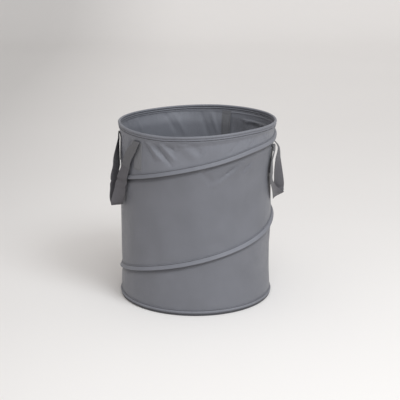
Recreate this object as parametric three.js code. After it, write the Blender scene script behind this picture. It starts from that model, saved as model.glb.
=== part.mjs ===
// A free-standing pop up laundry hamper: a cloth tube held open by a flat spiral spring wire.
// Millimetres, +Z up, origin on the floor under the middle of the base, front towards -Y.
import * as THREE from "three";

// Overall sizes
const HAMPER_HEIGHT = 533;
const RIM_DIAMETER = 470;
const BASE_DIAMETER = 461;

// Stock that the pieces are made of
const CLEARANCE = 0.3;
const CLOTH_THICKNESS = 0.8;
const BINDING_THICKNESS = 1;
const WEBBING_WIDTH = 36;
const WEBBING_THICKNESS = 2;
const RING_WIRE_DIAMETER = 3.5;
const SPIRAL_WIRE_DIAMETER = 3;

// Crimped sleeves that close the two ring wires, and the caps on the spiral wire's ends
const FERRULE_WALL = 0.5;
const FERRULE_LENGTH = 24;
const CAP_WALL = 0.6;
const CAP_LENGTH = 10;

// Hems round the mouth and the base
const RIM_HEM_DEPTH = 17.5;
const BASE_HEM_DEPTH = 18;
const BASE_PANEL_LEVEL = 14.5;

// The wall between the spring's turns
const WALL_DRAW_IN = 7;
const COIL_DRAW_IN = 2;
const PANEL_ROWS = 5;

// The channel that carries the spiral wire: a tape folded round the wire and stitched above it
const FIN_HEIGHT = 11;
const SPIRAL_END_SPACE = 7;
const CHANNEL_START_TURN_SHARE = 0.05;
const WIRE_TAIL_LENGTH = 12;

// The tape inside the upright back seam
const SEAM_TAPE_WIDTH = 30;

// Carrying handles
const STRAP_END_LENGTH = 80;
const LEFT_FOLD_DROP = 18.5;
const RIGHT_FOLD_SPACE = 9;
const FOLD_RADIUS = 2.6;
const LEFT_LOOP_DROP = 200;
const RIGHT_LOOP_DROP = 171;
const LOOP_SPACE = 1;

// Angles, in degrees
const FULL_TURN = 360;
const FACET_ANGLE = 7.5;
const FRONT_AZIMUTH = -90;
const SEAM_AZIMUTH = 52.5;
const HANDLE_FROM_FRONT_ANGLE = 81;
const STRAP_FROM_HANDLE_ANGLE = 19.5;

// Counts
const WIRE_SIDES = 6;
const HEM_ARC_STEPS = 7;
const CHANNEL_ARC_STEPS = 5;
const FOLD_STEPS = 4;
const LOOP_STEPS = 3;
const STRAP_ROWS = 4;
const TAPE_ROWS = 24;

// The spiral's route: turns from its upper end, and height as a share of the way up between the hems
const SPIRAL_ROUTE_SHARES = [
  [0, 1],
  [0.204, 0.9638],
  [0.296, 0.9468],
  [0.413, 0.884],
  [0.579, 0.776],
  [0.913, 0.5901],
  [1.246, 0.415],
  [1.371, 0.3267],
  [1.496, 0.2383],
  [1.621, 0.1535],
  [1.774, 0.0726],
  [2, 0],
];

// Handle loops, from the front fold round the bottom to the rear fold. Each row has the way down as
// a share of the loop's drop, the place round the hamper as a share of the strap's angle from the
// handle's middle, the stand-off as a share of the webbing's width, and the webbing's turn in degrees
// from lying flat on the wall with the same edge leading.
const LEFT_LOOP_SHARES = [
  [0.08, 0.9, 0, 0],
  [0.25, 0.59, 0, 14],
  [0.46, 0.32, 0, 30],
  [0.68, 0.14, 0, 46],
  [0.9, 0, 0, 70],
  [0.955, -0.04, 0, 82],
  [1, -0.18, 0, 90],
  [0.955, -0.32, 0, 82],
  [0.9, -0.36, 0, 70],
  [0.68, -0.46, 0, 46],
  [0.46, -0.56, 0, 30],
  [0.25, -0.7, 0, 14],
  [0.08, -0.92, 0, 0],
];
const RIGHT_LOOP_SHARES = [
  [0.08, 0.97, 0, 0],
  [0.25, 0.86, 0, 2],
  [0.46, 0.66, 0, 8],
  [0.68, 0.4, 0, 24],
  [0.88, 0.1, 0.04, 56],
  [0.95, -0.04, 0.08, 80],
  [1, -0.2, 0.11, 90],
  [0.94, -0.36, 0.09, 94],
  [0.86, -0.38, 0.06, 98],
  [0.6, -0.42, 0.03, 112],
  [0.4, -0.5, 0.12, 134],
  [0.25, -0.6, 0.2, 152],
  [0.08, -0.86, 0.06, 176],
];

// Colours
const CLOTH_COLOUR = 0x6f6f74;
const BINDING_COLOUR = 0x67676c;
const TAPE_COLOUR = 0x5e5e63;
const WEBBING_COLOUR = 0x4d4c51;
const STEEL_COLOUR = 0x9a9da1;
const FERRULE_COLOUR = 0xb4b6b9;
const CAP_COLOUR = 0x2e2e31;

const radians = THREE.MathUtils.degToRad;
const lerp = THREE.MathUtils.lerp;

/** Brings an angle in degrees into the range from zero to one turn. */
function wrapTurn(degrees) {
  return ((degrees % FULL_TURN) + FULL_TURN) % FULL_TURN;
}

/** A point from a place round the axis in degrees, a distance from it and a height. */
function polar(azimuth, radius, height) {
  const angle = radians(azimuth);
  return new THREE.Vector3(radius * Math.cos(angle), radius * Math.sin(angle), height);
}

/** The radius at any azimuth of a facet ring whose corners lie at the given radius. */
function onFacet(radius, azimuth) {
  const half = FACET_ANGLE / 2;
  const offset = wrapTurn(azimuth) % FACET_ANGLE - half;
  return (radius * Math.cos(radians(half))) / Math.cos(radians(offset));
}

/** Facet corners strictly between two azimuths, with the two ends. */
function facetColumns(from, to) {
  const columns = [from];
  const nearest = FACET_ANGLE / 12;
  for (let a = Math.ceil(from / FACET_ANGLE) * FACET_ANGLE; a < to - nearest; a += FACET_ANGLE) {
    if (a > from + nearest) columns.push(a);
  }
  columns.push(to);
  return columns;
}

/** A smooth curve through a table's rows that never overshoots them. */
function monotoneCurve(rows) {
  const count = rows.length;
  const slopes = [];
  for (let i = 0; i < count - 1; i += 1) {
    slopes.push((rows[i + 1][1] - rows[i][1]) / (rows[i + 1][0] - rows[i][0]));
  }
  const tangents = [slopes[0]];
  for (let i = 1; i < count - 1; i += 1) {
    const [before, after] = [slopes[i - 1], slopes[i]];
    tangents.push(before * after <= 0 ? 0 : (2 * before * after) / (before + after));
  }
  tangents.push(slopes[count - 2]);
  return (x) => {
    let i = 0;
    while (i < count - 2 && x > rows[i + 1][0]) i += 1;
    const width = rows[i + 1][0] - rows[i][0];
    const s = (x - rows[i][0]) / width;
    const s2 = s * s;
    const s3 = s2 * s;
    return (
      (2 * s3 - 3 * s2 + 1) * rows[i][1] +
      (s3 - 2 * s2 + s) * width * tangents[i] +
      (3 * s2 - 2 * s3) * rows[i + 1][1] +
      (s3 - s2) * width * tangents[i + 1]
    );
  };
}

// Section of a hem: an arc round the wire's pocket with two legs, drawn as [outwards, upwards] from
// the wire's centre with the mouth of the pocket downwards.
const FERRULE_RADIUS = RING_WIRE_DIAMETER / 2 + CLEARANCE + FERRULE_WALL;
const POCKET_RADIUS = FERRULE_RADIUS + CLEARANCE;
const HEM_RADIUS = POCKET_RADIUS + BINDING_THICKNESS;

/** Points along an arc, in [outwards, upwards], from one angle in degrees to another. */
function arcPoints(radius, from, to, steps) {
  const points = [];
  for (let i = 0; i <= steps; i += 1) {
    const angle = radians(lerp(from, to, i / steps));
    points.push([radius * Math.cos(angle), radius * Math.sin(angle)]);
  }
  return points;
}

/** The hem's section, with the lengths of its outer and inner legs below the wire's centre. */
function hemSection(halfSlot, outerLeg, innerLeg) {
  const legOut = halfSlot + BINDING_THICKNESS;
  const outerStart = -THREE.MathUtils.radToDeg(Math.acos(legOut / HEM_RADIUS));
  const innerStart = -THREE.MathUtils.radToDeg(Math.acos(halfSlot / POCKET_RADIUS));
  const outside = arcPoints(HEM_RADIUS, outerStart, FULL_TURN / 2 - outerStart, HEM_ARC_STEPS);
  const inside = arcPoints(POCKET_RADIUS, FULL_TURN / 2 - innerStart, innerStart, HEM_ARC_STEPS);
  return {
    points: [
      [halfSlot, -outerLeg],
      [legOut, -outerLeg],
      ...outside,
      [-legOut, -innerLeg],
      [-halfSlot, -innerLeg],
      ...inside,
    ],
    reach: Math.max(...outside.map((p) => p[0])),
    rise: Math.max(...outside.map((p) => p[1])),
  };
}

// The rim: one layer of wall stands in the hem's slot
const RIM_HALF_SLOT = CLOTH_THICKNESS / 2 + CLEARANCE;
const RIM_PROBE = hemSection(RIM_HALF_SLOT, 0, 0);
const RIM_WIRE_RADIUS = RIM_DIAMETER / 2 - RIM_PROBE.reach;
const RIM_WIRE_HEIGHT = HAMPER_HEIGHT - RIM_PROBE.rise;
const RIM_HEM_FOOT = HAMPER_HEIGHT - RIM_HEM_DEPTH;
const RIM_WALL_RADIUS = RIM_WIRE_RADIUS;
const WALL_TOP = RIM_WIRE_HEIGHT - FERRULE_RADIUS - 2 * CLEARANCE;

// The base: the wall and the base panel's turned-down edge stand side by side in the slot
const BASE_HALF_SLOT = CLOTH_THICKNESS + 1.5 * CLEARANCE;
const BASE_PROBE = hemSection(BASE_HALF_SLOT, 0, 0);
const BASE_WIRE_RADIUS = BASE_DIAMETER / 2 - BASE_PROBE.reach;
const BASE_WIRE_HEIGHT = BASE_PROBE.rise;
const BASE_WALL_RADIUS = BASE_WIRE_RADIUS + (CLOTH_THICKNESS + CLEARANCE) / 2;
const BASE_EDGE_RADIUS = BASE_WIRE_RADIUS - (CLOTH_THICKNESS + CLEARANCE) / 2;
const WALL_FOOT = BASE_WIRE_HEIGHT + FERRULE_RADIUS + 2 * CLEARANCE;

// The spiral channel, with its tube standing off the wall by one clearance
const CHANNEL_BORE = SPIRAL_WIRE_DIAMETER / 2 + 2 * CLEARANCE;
const CHANNEL_RADIUS = CHANNEL_BORE + CLOTH_THICKNESS;
const SPIRAL_TOP = RIM_HEM_FOOT - FIN_HEIGHT - SPIRAL_END_SPACE;
const SPIRAL_FOOT = BASE_HEM_DEPTH + CHANNEL_RADIUS + SPIRAL_END_SPACE;
const COIL_SPACING = (SPIRAL_TOP - SPIRAL_FOOT) / 2;
const SPIRAL_TURNS = SPIRAL_ROUTE_SHARES[SPIRAL_ROUTE_SHARES.length - 1][0];
const spiralShare = monotoneCurve(SPIRAL_ROUTE_SHARES);

/** Height of the spiral wire's centre after the given degrees of winding from its upper end. */
function spiralHeight(wound) {
  return lerp(SPIRAL_FOOT, SPIRAL_TOP, spiralShare(wound / FULL_TURN));
}

/** Wall radius, in the middle of the cloth, if nothing drew it in. */
function straightRadius(height) {
  const up = (height - BASE_HEM_DEPTH) / (RIM_HEM_FOOT - BASE_HEM_DEPTH);
  return lerp(BASE_WALL_RADIUS, RIM_WALL_RADIUS, THREE.MathUtils.clamp(up, 0, 1));
}

/** Wall radius where a turn of the spring holds it. */
function coilRadius(height) {
  return straightRadius(height) - COIL_DRAW_IN;
}

/** The heights that hold the wall at some winding angle, from the base hem up to the rim hem. */
function wallSupports(wound) {
  const upper = spiralHeight(wound);
  const lower = spiralHeight(wound + FULL_TURN);
  return [
    { height: BASE_HEM_DEPTH, radius: BASE_WALL_RADIUS },
    { height: lower, radius: coilRadius(lower) },
    { height: upper, radius: coilRadius(upper) },
    { height: RIM_HEM_FOOT, radius: RIM_WALL_RADIUS },
  ];
}

/** Wall radius between two supports, drawn in more the further they are apart. */
function spanRadius(low, high, height) {
  const gap = high.height - low.height;
  const drawIn = WALL_DRAW_IN * (gap / COIL_SPACING) ** 2;
  const at = (s) => lerp(low.radius, high.radius, s) - drawIn * 4 * s * (1 - s);
  const row = THREE.MathUtils.clamp(((height - low.height) / gap) * PANEL_ROWS, 0, PANEL_ROWS);
  const below = Math.min(Math.floor(row), PANEL_ROWS - 1);
  return lerp(at(below / PANEL_ROWS), at((below + 1) / PANEL_ROWS), row - below);
}

/** Radius of the middle of the wall's cloth at a winding angle and a height. */
function wallRadius(wound, height) {
  const supports = wallSupports(wound);
  if (height <= supports[0].height) return BASE_WALL_RADIUS;
  for (let i = 0; i < 3; i += 1) {
    if (height <= supports[i + 1].height) return spanRadius(supports[i], supports[i + 1], height);
  }
  return RIM_WALL_RADIUS;
}

/** Winding angle, less than one turn, at an azimuth. */
function woundAt(azimuth) {
  return wrapTurn(SEAM_AZIMUTH - azimuth);
}

/** Radius of the wall's outer face at an azimuth and a height, on its facets. */
function wallFace(azimuth, height) {
  return onFacet(wallRadius(woundAt(azimuth), height) + CLOTH_THICKNESS / 2, azimuth);
}

/** Builds an indexed geometry and turns its faces outwards. */
function solid(points, triangles) {
  let volume = 0;
  for (const [a, b, c] of triangles) {
    volume += points[a].dot(new THREE.Vector3().crossVectors(points[b], points[c]));
  }
  const faces = volume < 0 ? triangles.map(([a, b, c]) => [a, c, b]) : triangles;
  const geometry = new THREE.BufferGeometry();
  geometry.setFromPoints(points);
  geometry.setIndex(faces.flat());
  geometry.computeVertexNormals();
  return geometry;
}

/** Joins neighbouring rings of equal length with pairs of triangles. */
function ringSides(rings, closed) {
  const size = rings[0].length;
  const triangles = [];
  const last = closed ? rings.length : rings.length - 1;
  for (let i = 0; i < last; i += 1) {
    const here = i * size;
    const next = ((i + 1) % rings.length) * size;
    for (let j = 0; j < size; j += 1) {
      const k = (j + 1) % size;
      triangles.push([here + j, here + k, next + k], [here + j, next + k, next + j]);
    }
  }
  return triangles;
}

/** A loft through rings that closes on its own start. */
function closedLoft(rings) {
  return solid(rings.flat(), ringSides(rings, true));
}

/** A loft through rings with flat ends, whose flat outline is given in two dimensions. */
function cappedLoft(rings, startOutline, endOutline = startOutline) {
  const size = rings[0].length;
  const triangles = ringSides(rings, false);
  const cap = (outline, offset, reversed) => {
    const flat = outline.map(([x, y]) => new THREE.Vector2(x, y));
    const turn = Math.sign(THREE.ShapeUtils.area(flat));
    for (const [a, b, c] of THREE.ShapeUtils.triangulateShape(flat, [])) {
      const way = Math.sign(THREE.ShapeUtils.area([flat[a], flat[b], flat[c]]));
      const kept = (way === turn) !== reversed;
      triangles.push(kept ? [offset + a, offset + b, offset + c] : [offset + a, offset + c, offset + b]);
    }
  };
  cap(startOutline, 0, true);
  cap(endOutline, (rings.length - 1) * size, false);
  return solid(rings.flat(), triangles);
}

/** Turns a section of [radius, height] points into a facet ring about the vertical axis. */
function facetRing(section) {
  const rings = [];
  for (let azimuth = 0; azimuth < FULL_TURN; azimuth += FACET_ANGLE) {
    rings.push(section.map(([radius, height]) => polar(azimuth, radius, height)));
  }
  return closedLoft(rings);
}

/** A section placed about a hem's wire. */
function placedSection(points, radius, height, upwards) {
  return points.map(([out, up]) => [radius + out, height + upwards * up]);
}

/** A round wire along stations, each with a centre and its outward direction. */
function wireAlong(stations, radius) {
  const outline = arcPoints(radius, 0, FULL_TURN, WIRE_SIDES).slice(0, WIRE_SIDES);
  const up = new THREE.Vector3(0, 0, 1);
  const rings = stations.map(({ centre, outward }) =>
    outline.map(([x, y]) => centre.clone().addScaledVector(outward, x).addScaledVector(up, y)),
  );
  return cappedLoft(rings, outline);
}

/** A sleeve round a wire's stations. With a floor it's a cap whose first station is its closed end. */
function sleeveAlong(stations, outerRadius, innerRadius, floorSteps) {
  const up = new THREE.Vector3(0, 0, 1);
  const at = (station, radius, angle) =>
    station.centre
      .clone()
      .addScaledVector(station.outward, radius * Math.cos(angle))
      .addScaledVector(up, radius * Math.sin(angle));
  const inside = [...stations].reverse().slice(0, stations.length - floorSteps);
  const rings = [];
  for (let i = 0; i < WIRE_SIDES; i += 1) {
    const angle = radians((i * FULL_TURN) / WIRE_SIDES);
    rings.push([
      ...stations.map((s) => at(s, outerRadius, angle)),
      ...inside.map((s) => at(s, innerRadius, angle)),
    ]);
  }
  if (floorSteps === 0) return closedLoft(rings);
  const points = rings.flat();
  const size = rings[0].length;
  const triangles = ringSides(rings, true).filter(([a, b, c]) => {
    const ends = [a, b, c].map((n) => n % size);
    return !(ends.includes(0) && ends.includes(size - 1));
  });
  const outerPole = points.push(stations[0].centre.clone()) - 1;
  const innerPole = points.push(stations[floorSteps].centre.clone()) - 1;
  for (let i = 0; i < WIRE_SIDES; i += 1) {
    const here = i * size;
    const next = ((i + 1) % WIRE_SIDES) * size;
    triangles.push([here, next, outerPole], [next + size - 1, here + size - 1, innerPole]);
  }
  return solid(points, triangles);
}

/** Stations along a flat ring from one azimuth to another, with every facet corner between. */
function ringStations(radius, height, from, to) {
  return facetColumns(from, to).map((azimuth) => ({
    centre: polar(azimuth, onFacet(radius, azimuth), height),
    outward: polar(azimuth, 1, 0),
  }));
}

/** Radius of the face that the channel lies on, one clearance outside the wall. */
function channelSeat(wound, height) {
  const turn = wound % FULL_TURN;
  const shelf = wallRadius(turn, height) + CLOTH_THICKNESS / 2 + CLEARANCE;
  return onFacet(shelf, SEAM_AZIMUTH - wound);
}

/** A station of the spiral wire at a winding angle. */
function spiralStation(wound) {
  const azimuth = SEAM_AZIMUTH - wound;
  const height = spiralHeight(wound);
  return {
    centre: polar(azimuth, channelSeat(wound, height) + CHANNEL_RADIUS, height),
    outward: polar(azimuth, 1, 0),
  };
}

/** The rim ring's or base ring's wire, with its ends nearly meeting inside the ferrule. */
function ringWire(radius, height) {
  const slit = THREE.MathUtils.radToDeg(CLEARANCE / radius);
  const stations = ringStations(radius, height, SEAM_AZIMUTH + slit, SEAM_AZIMUTH + FULL_TURN - slit);
  return wireAlong(stations, RING_WIRE_DIAMETER / 2);
}

/** The sleeve that joins a ring wire's ends. */
function ringFerrule(radius, height) {
  const half = THREE.MathUtils.radToDeg(FERRULE_LENGTH / 2 / radius);
  const stations = ringStations(radius, height, SEAM_AZIMUTH - half, SEAM_AZIMUTH + half);
  return sleeveAlong(stations, FERRULE_RADIUS, RING_WIRE_DIAMETER / 2 + CLEARANCE, 0);
}

/** The base panel: a flat disc whose edge turns down into the base hem. */
function basePanel() {
  const edgeOut = BASE_EDGE_RADIUS + CLOTH_THICKNESS / 2;
  const edgeIn = BASE_EDGE_RADIUS - CLOTH_THICKNESS / 2;
  const top = BASE_PANEL_LEVEL + CLOTH_THICKNESS;
  const profile = [
    [0, BASE_PANEL_LEVEL],
    [edgeIn / 2, BASE_PANEL_LEVEL],
    [edgeIn, BASE_PANEL_LEVEL],
    [edgeIn, WALL_FOOT],
    [edgeOut, WALL_FOOT],
    [edgeOut, top],
    [edgeOut / 2, top],
    [0, top],
  ];
  const outline = profile.map(([radius, height]) => new THREE.Vector2(radius, height));
  const lathe = new THREE.LatheGeometry(outline, FULL_TURN / FACET_ANGLE);
  return lathe.rotateX(radians(FULL_TURN / 4));
}

/** One wall panel, from its lower to its upper edge at each winding angle of a turn. */
function wallPanel(lowEdge, highEdge) {
  const slit = THREE.MathUtils.radToDeg(CLEARANCE / BASE_WALL_RADIUS);
  const rings = [];
  const outlines = [];
  for (const wound of facetColumns(slit, FULL_TURN - slit)) {
    const azimuth = SEAM_AZIMUTH - wound;
    const low = lowEdge(wound);
    const high = highEdge(wound);
    const rows = panelHeights(wound, low, high);
    const face = (side) =>
      rows.map((height) => [
        onFacet(wallRadius(wound, height) + (side * CLOTH_THICKNESS) / 2, azimuth),
        height,
      ]);
    const outline = [...face(1), ...face(-1).reverse()];
    outlines.push(outline);
    rings.push(outline.map(([radius, height]) => polar(azimuth, radius, height)));
  }
  return cappedLoft(rings, outlines[0], outlines[outlines.length - 1]);
}

/** Heights of a panel's rows: its edges, the hem's mouth where it passes one, and even steps. */
function panelHeights(wound, low, high) {
  const supports = wallSupports(wound).map((s) => s.height);
  const span = supports.findIndex((height, i) => i < 3 && (low + high) / 2 < supports[i + 1]);
  const from = supports[span];
  const to = supports[span + 1];
  const rows = [low];
  const first = low < from - CLEARANCE ? 0 : 1;
  const last = high > to + CLEARANCE ? PANEL_ROWS : PANEL_ROWS - 1;
  for (let i = first; i <= last; i += 1) rows.push(lerp(from, to, i / PANEL_ROWS));
  rows.push(high);
  return rows;
}

/** The tape that covers the back seam on the inside. */
function seamTape() {
  const foot = BASE_PANEL_LEVEL + CLOTH_THICKNESS + CLEARANCE;
  const top = RIM_HEM_FOOT - CLEARANCE;
  const half = THREE.MathUtils.radToDeg(SEAM_TAPE_WIDTH / 2 / BASE_WALL_RADIUS);
  const columns = [SEAM_AZIMUTH - half, SEAM_AZIMUTH, SEAM_AZIMUTH + half];
  const beside = FACET_ANGLE / 60;
  const rings = [];
  for (let i = 0; i <= TAPE_ROWS; i += 1) {
    const height = lerp(foot, top, i / TAPE_ROWS);
    const wall = Math.min(wallRadius(beside, height), wallRadius(FULL_TURN - beside, height));
    const outer = wall - CLOTH_THICKNESS / 2 - 2 * CLEARANCE;
    const inner = outer - CLOTH_THICKNESS;
    rings.push([
      ...columns.map((azimuth) => polar(azimuth, onFacet(outer, azimuth), height)),
      ...[...columns].reverse().map((azimuth) => polar(azimuth, onFacet(inner, azimuth), height)),
    ]);
  }
  const outline = rings[0].map((p) => [p.x, p.y]);
  return cappedLoft(rings, outline);
}

/** The channel's section, as [outwards from the wall side, upwards from the wire, on the fin]. */
function channelSection() {
  const layer = CLOTH_THICKNESS;
  const foldedInside = layer + CLEARANCE;
  const foldedOutside = foldedInside + layer;
  const outerEnd = THREE.MathUtils.radToDeg(Math.acos((foldedOutside - CHANNEL_RADIUS) / CHANNEL_RADIUS));
  const innerEnd = THREE.MathUtils.radToDeg(Math.acos((foldedInside - CHANNEL_RADIUS) / CHANNEL_BORE));
  const half = FULL_TURN / 2;
  const shift = ([x, y]) => [x + CHANNEL_RADIUS, y];
  const outside = arcPoints(CHANNEL_RADIUS, half, FULL_TURN + outerEnd, CHANNEL_ARC_STEPS).map(shift);
  const inside = arcPoints(CHANNEL_BORE, innerEnd, -half, CHANNEL_ARC_STEPS).map(shift);
  return [
    [0, FIN_HEIGHT],
    ...outside,
    [foldedOutside, FIN_HEIGHT],
    [foldedInside, FIN_HEIGHT],
    ...inside,
    [layer, FIN_HEIGHT],
  ];
}

/** The channel: a folded tape wound round the hamper along the spiral. */
function spiralChannel(from, to) {
  const section = channelSection();
  const rings = [];
  for (let wound = from; wound <= to; wound += FACET_ANGLE) {
    const height = spiralHeight(wound);
    const azimuth = SEAM_AZIMUTH - wound;
    const tubeSeat = channelSeat(wound, height);
    const finSeat = channelSeat(wound, height + FIN_HEIGHT);
    rings.push(
      section.map(([out, up]) => {
        const seat = up === FIN_HEIGHT ? finSeat : tubeSeat;
        return polar(azimuth, seat + out, height + up);
      }),
    );
  }
  return cappedLoft(rings, section);
}

/** The wire inside the channel, standing out of both its ends by a short tail. */
function spiralWire(from, to) {
  const stations = facetColumns(from, to).map(spiralStation);
  return wireAlong(stations, SPIRAL_WIRE_DIAMETER / 2);
}

/** A closed cap on one end of the spiral wire. The way is 1 where the wire winds on from the cap. */
function wireCap(wireEnd, way) {
  const perDegree = radians(1) * BASE_WALL_RADIUS;
  const inner = SPIRAL_WIRE_DIAMETER / 2 + CLEARANCE;
  const closedEnd = wireEnd - (way * (CAP_WALL + CLEARANCE)) / perDegree;
  const floor = wireEnd - (way * CLEARANCE) / perDegree;
  const mouth = closedEnd + (way * CAP_LENGTH) / perDegree;
  const stations = [closedEnd, floor, mouth].map(spiralStation);
  return sleeveAlong(stations, inner + CAP_WALL, inner, 1);
}

/** A strap end sewn flat on the wall, up to the fold that the loop hangs from. */
function strapEnd(azimuth, fold, foot) {
  const half = THREE.MathUtils.radToDeg(WEBBING_WIDTH / 2 / RIM_WALL_RADIUS);
  const columns = facetColumns(azimuth - half, azimuth + half);
  const rings = [];
  for (let i = 0; i <= STRAP_ROWS; i += 1) {
    const height = lerp(foot, fold - CLEARANCE, i / STRAP_ROWS);
    const inner = (a) => wallFace(a, height) + CLEARANCE;
    rings.push([
      ...columns.map((a) => polar(a, inner(a), height)),
      ...[...columns].reverse().map((a) => polar(a, inner(a) + WEBBING_THICKNESS, height)),
    ]);
  }
  return cappedLoft(rings, rings[0].map((p) => [p.x, p.y]));
}

/** Lowest height that a strap end can reach down to without meeting the channel below it. */
function strapFoot(azimuth, fold) {
  const half = THREE.MathUtils.radToDeg(WEBBING_WIDTH / 2 / RIM_WALL_RADIUS);
  const below = [azimuth - half, azimuth, azimuth + half].map((a) => {
    const upper = spiralHeight(woundAt(a));
    return (upper < fold ? upper : spiralHeight(woundAt(a) + FULL_TURN)) + FIN_HEIGHT;
  });
  return Math.max(fold - STRAP_END_LENGTH, Math.max(...below) + CLEARANCE);
}

/** A curve through a table of rows, sampled with a few steps between rows. */
function smoothRows(rows, steps) {
  const out = [];
  const last = rows.length - 1;
  for (let i = 0; i < last; i += 1) {
    const [a, b, c, d] = [rows[Math.max(i - 1, 0)], rows[i], rows[i + 1], rows[Math.min(i + 2, last)]];
    for (let step = 0; step < steps; step += 1) {
      const s = step / steps;
      out.push(
        b.map((value, k) => {
          const [p, q, r] = [c[k] - a[k], c[k] - b[k], d[k] - b[k]];
          return value + s * (p / 2 + s * (3 * q - p - r / 2 + s * (p / 2 + r / 2 - 2 * q)));
        }),
      );
    }
  }
  out.push(rows[last]);
  return out;
}

// The webbing's section, as [across, through] in half widths and half thicknesses
const STRAP_CORNERS = [
  [-1, -1],
  [1, -1],
  [1, 1],
  [-1, 1],
];

/**
 * A handle loop of webbing that hangs from two folds.
 * @param {number} middle azimuth of the handle's middle
 * @param {number} forward which way the front lies, 1 or -1, as the azimuth grows
 * @param {number} fold height of the folds' centres
 * @param {number} drop how far the loop hangs below them
 * @param {number[][]} table rows from the front fold to the rear fold
 * @param {(height: number) => number} inside least radius of the webbing at a height
 */
function handleLoop(middle, forward, fold, drop, table, inside) {
  const halfWidth = WEBBING_WIDTH / 2;
  const halfThick = WEBBING_THICKNESS / 2;
  const stations = [];
  const halfTurn = FULL_TURN / 2;
  const foldStations = (side, rowTurn) => {
    const turn = Math.round(rowTurn / halfTurn) * halfTurn;
    const azimuth = middle + side * forward * STRAP_FROM_HANDLE_ANGLE;
    const seat = wallFace(azimuth, fold) + CLEARANCE + halfThick;
    return arcPoints(FOLD_RADIUS, halfTurn, 0, FOLD_STEPS).map(([out, up]) => ({
      azimuth,
      radius: seat + FOLD_RADIUS + out,
      height: fold + up,
      turn,
      along: polar(azimuth, up * side, -out * side).normalize(),
    }));
  };
  stations.push(...foldStations(1, table[0][3]));
  const hang = stations[stations.length - 1].radius - halfThick;
  for (const [down, around, off, turn] of smoothRows(table, LOOP_STEPS)) {
    const height = fold - down * drop;
    const clear = Math.max(inside(height), lerp(hang, inside(height), Math.min(1, 4 * down)));
    const lean = Math.sin(radians(turn));
    const flat = Math.abs(Math.cos(radians(turn)));
    stations.push({
      azimuth: middle + around * forward * STRAP_FROM_HANDLE_ANGLE,
      radius: clear + off * WEBBING_WIDTH + lean * halfWidth + flat * halfThick,
      height,
      turn,
    });
  }
  stations.push(...foldStations(-1, table[table.length - 1][3]).reverse());
  const centres = stations.map((s) => polar(s.azimuth, s.radius, s.height));
  const lowest = stations.reduce((best, s, i) => (s.height < stations[best].height ? i : best), 0);
  const rings = stations.map((station, i) => {
    const before = centres[Math.max(i - 1, 0)];
    const after = centres[Math.min(i + 1, centres.length - 1)];
    const along = station.along ?? after.clone().sub(before).normalize();
    const outward = polar(station.azimuth, 1, 0);
    const sideways = polar(station.azimuth + FULL_TURN / 4, 1, 0);
    const inwardSide = i <= lowest ? -forward : forward;
    const turn = radians(station.turn);
    const wide = sideways.multiplyScalar(inwardSide * Math.cos(turn));
    wide.addScaledVector(outward, Math.sin(turn));
    wide.addScaledVector(along, -wide.dot(along)).normalize();
    const thick = along.clone().cross(wide).normalize();
    const corners = STRAP_CORNERS.map(([x, y]) =>
      centres[i].clone().addScaledVector(wide, x * halfWidth).addScaledVector(thick, y * halfThick),
    );
    const short = Math.max(...corners.map((p) => inside(p.z) - Math.hypot(p.x, p.y)));
    const push = station.along ? 0 : Math.max(0, short);
    return corners.map((p) => p.addScaledVector(outward, push));
  });
  return cappedLoft(rings, STRAP_CORNERS);
}

/** A named piece with a material of its own. */
function piece(name, geometry, material) {
  const mesh = new THREE.Mesh(geometry, material.clone());
  mesh.name = name;
  return mesh;
}

/** A matte or metallic finish. */
function finish(name, color, roughness, metalness = 0) {
  return new THREE.MeshStandardMaterial({ name, color, roughness, metalness });
}

const cloth = finish("cloth", CLOTH_COLOUR, 0.9);
const binding = finish("binding", BINDING_COLOUR, 0.9);
const tape = finish("tape", TAPE_COLOUR, 0.9);
const webbing = finish("webbing", WEBBING_COLOUR, 0.85);
const steel = finish("steel", STEEL_COLOUR, 0.35, 0.9);
const crimp = finish("crimp", FERRULE_COLOUR, 0.4, 0.9);
const plastic = finish("plastic", CAP_COLOUR, 0.6);

// Base
const base = new THREE.Group();
const baseSection = hemSection(
  BASE_HALF_SLOT,
  BASE_HEM_DEPTH - BASE_WIRE_HEIGHT,
  BASE_PANEL_LEVEL - CLEARANCE - BASE_WIRE_HEIGHT,
);
base.add(
  piece("base_panel", basePanel(), cloth),
  piece("base_binding", facetRing(placedSection(baseSection.points, BASE_WIRE_RADIUS, BASE_WIRE_HEIGHT, -1)), binding),
  piece("base_ring_wire", ringWire(BASE_WIRE_RADIUS, BASE_WIRE_HEIGHT), steel),
  piece("base_ring_ferrule", ringFerrule(BASE_WIRE_RADIUS, BASE_WIRE_HEIGHT), crimp),
);

// Rim
const rim = new THREE.Group();
const rimLeg = RIM_WIRE_HEIGHT - RIM_HEM_FOOT;
const rimSection = hemSection(RIM_HALF_SLOT, rimLeg, rimLeg);
rim.add(
  piece("rim_hem", facetRing(placedSection(rimSection.points, RIM_WIRE_RADIUS, RIM_WIRE_HEIGHT, 1)), binding),
  piece("rim_ring_wire", ringWire(RIM_WIRE_RADIUS, RIM_WIRE_HEIGHT), steel),
  piece("rim_ring_ferrule", ringFerrule(RIM_WIRE_RADIUS, RIM_WIRE_HEIGHT), crimp),
);

// Wall, in three panels that meet behind the spiral channel, with a seam tape inside the back
const wall = new THREE.Group();
const aboveCoil = (turns) => (wound) => spiralHeight(wound + turns * FULL_TURN) + CLEARANCE;
const belowCoil = (turns) => (wound) => spiralHeight(wound + turns * FULL_TURN) - CLEARANCE;
wall.add(
  piece("wall_lower_panel", wallPanel(() => WALL_FOOT, belowCoil(1)), cloth),
  piece("wall_middle_panel", wallPanel(aboveCoil(1), belowCoil(0)), cloth),
  piece("wall_upper_panel", wallPanel(aboveCoil(0), () => WALL_TOP), cloth),
  piece("back_seam_tape", seamTape(), tape),
);

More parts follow.
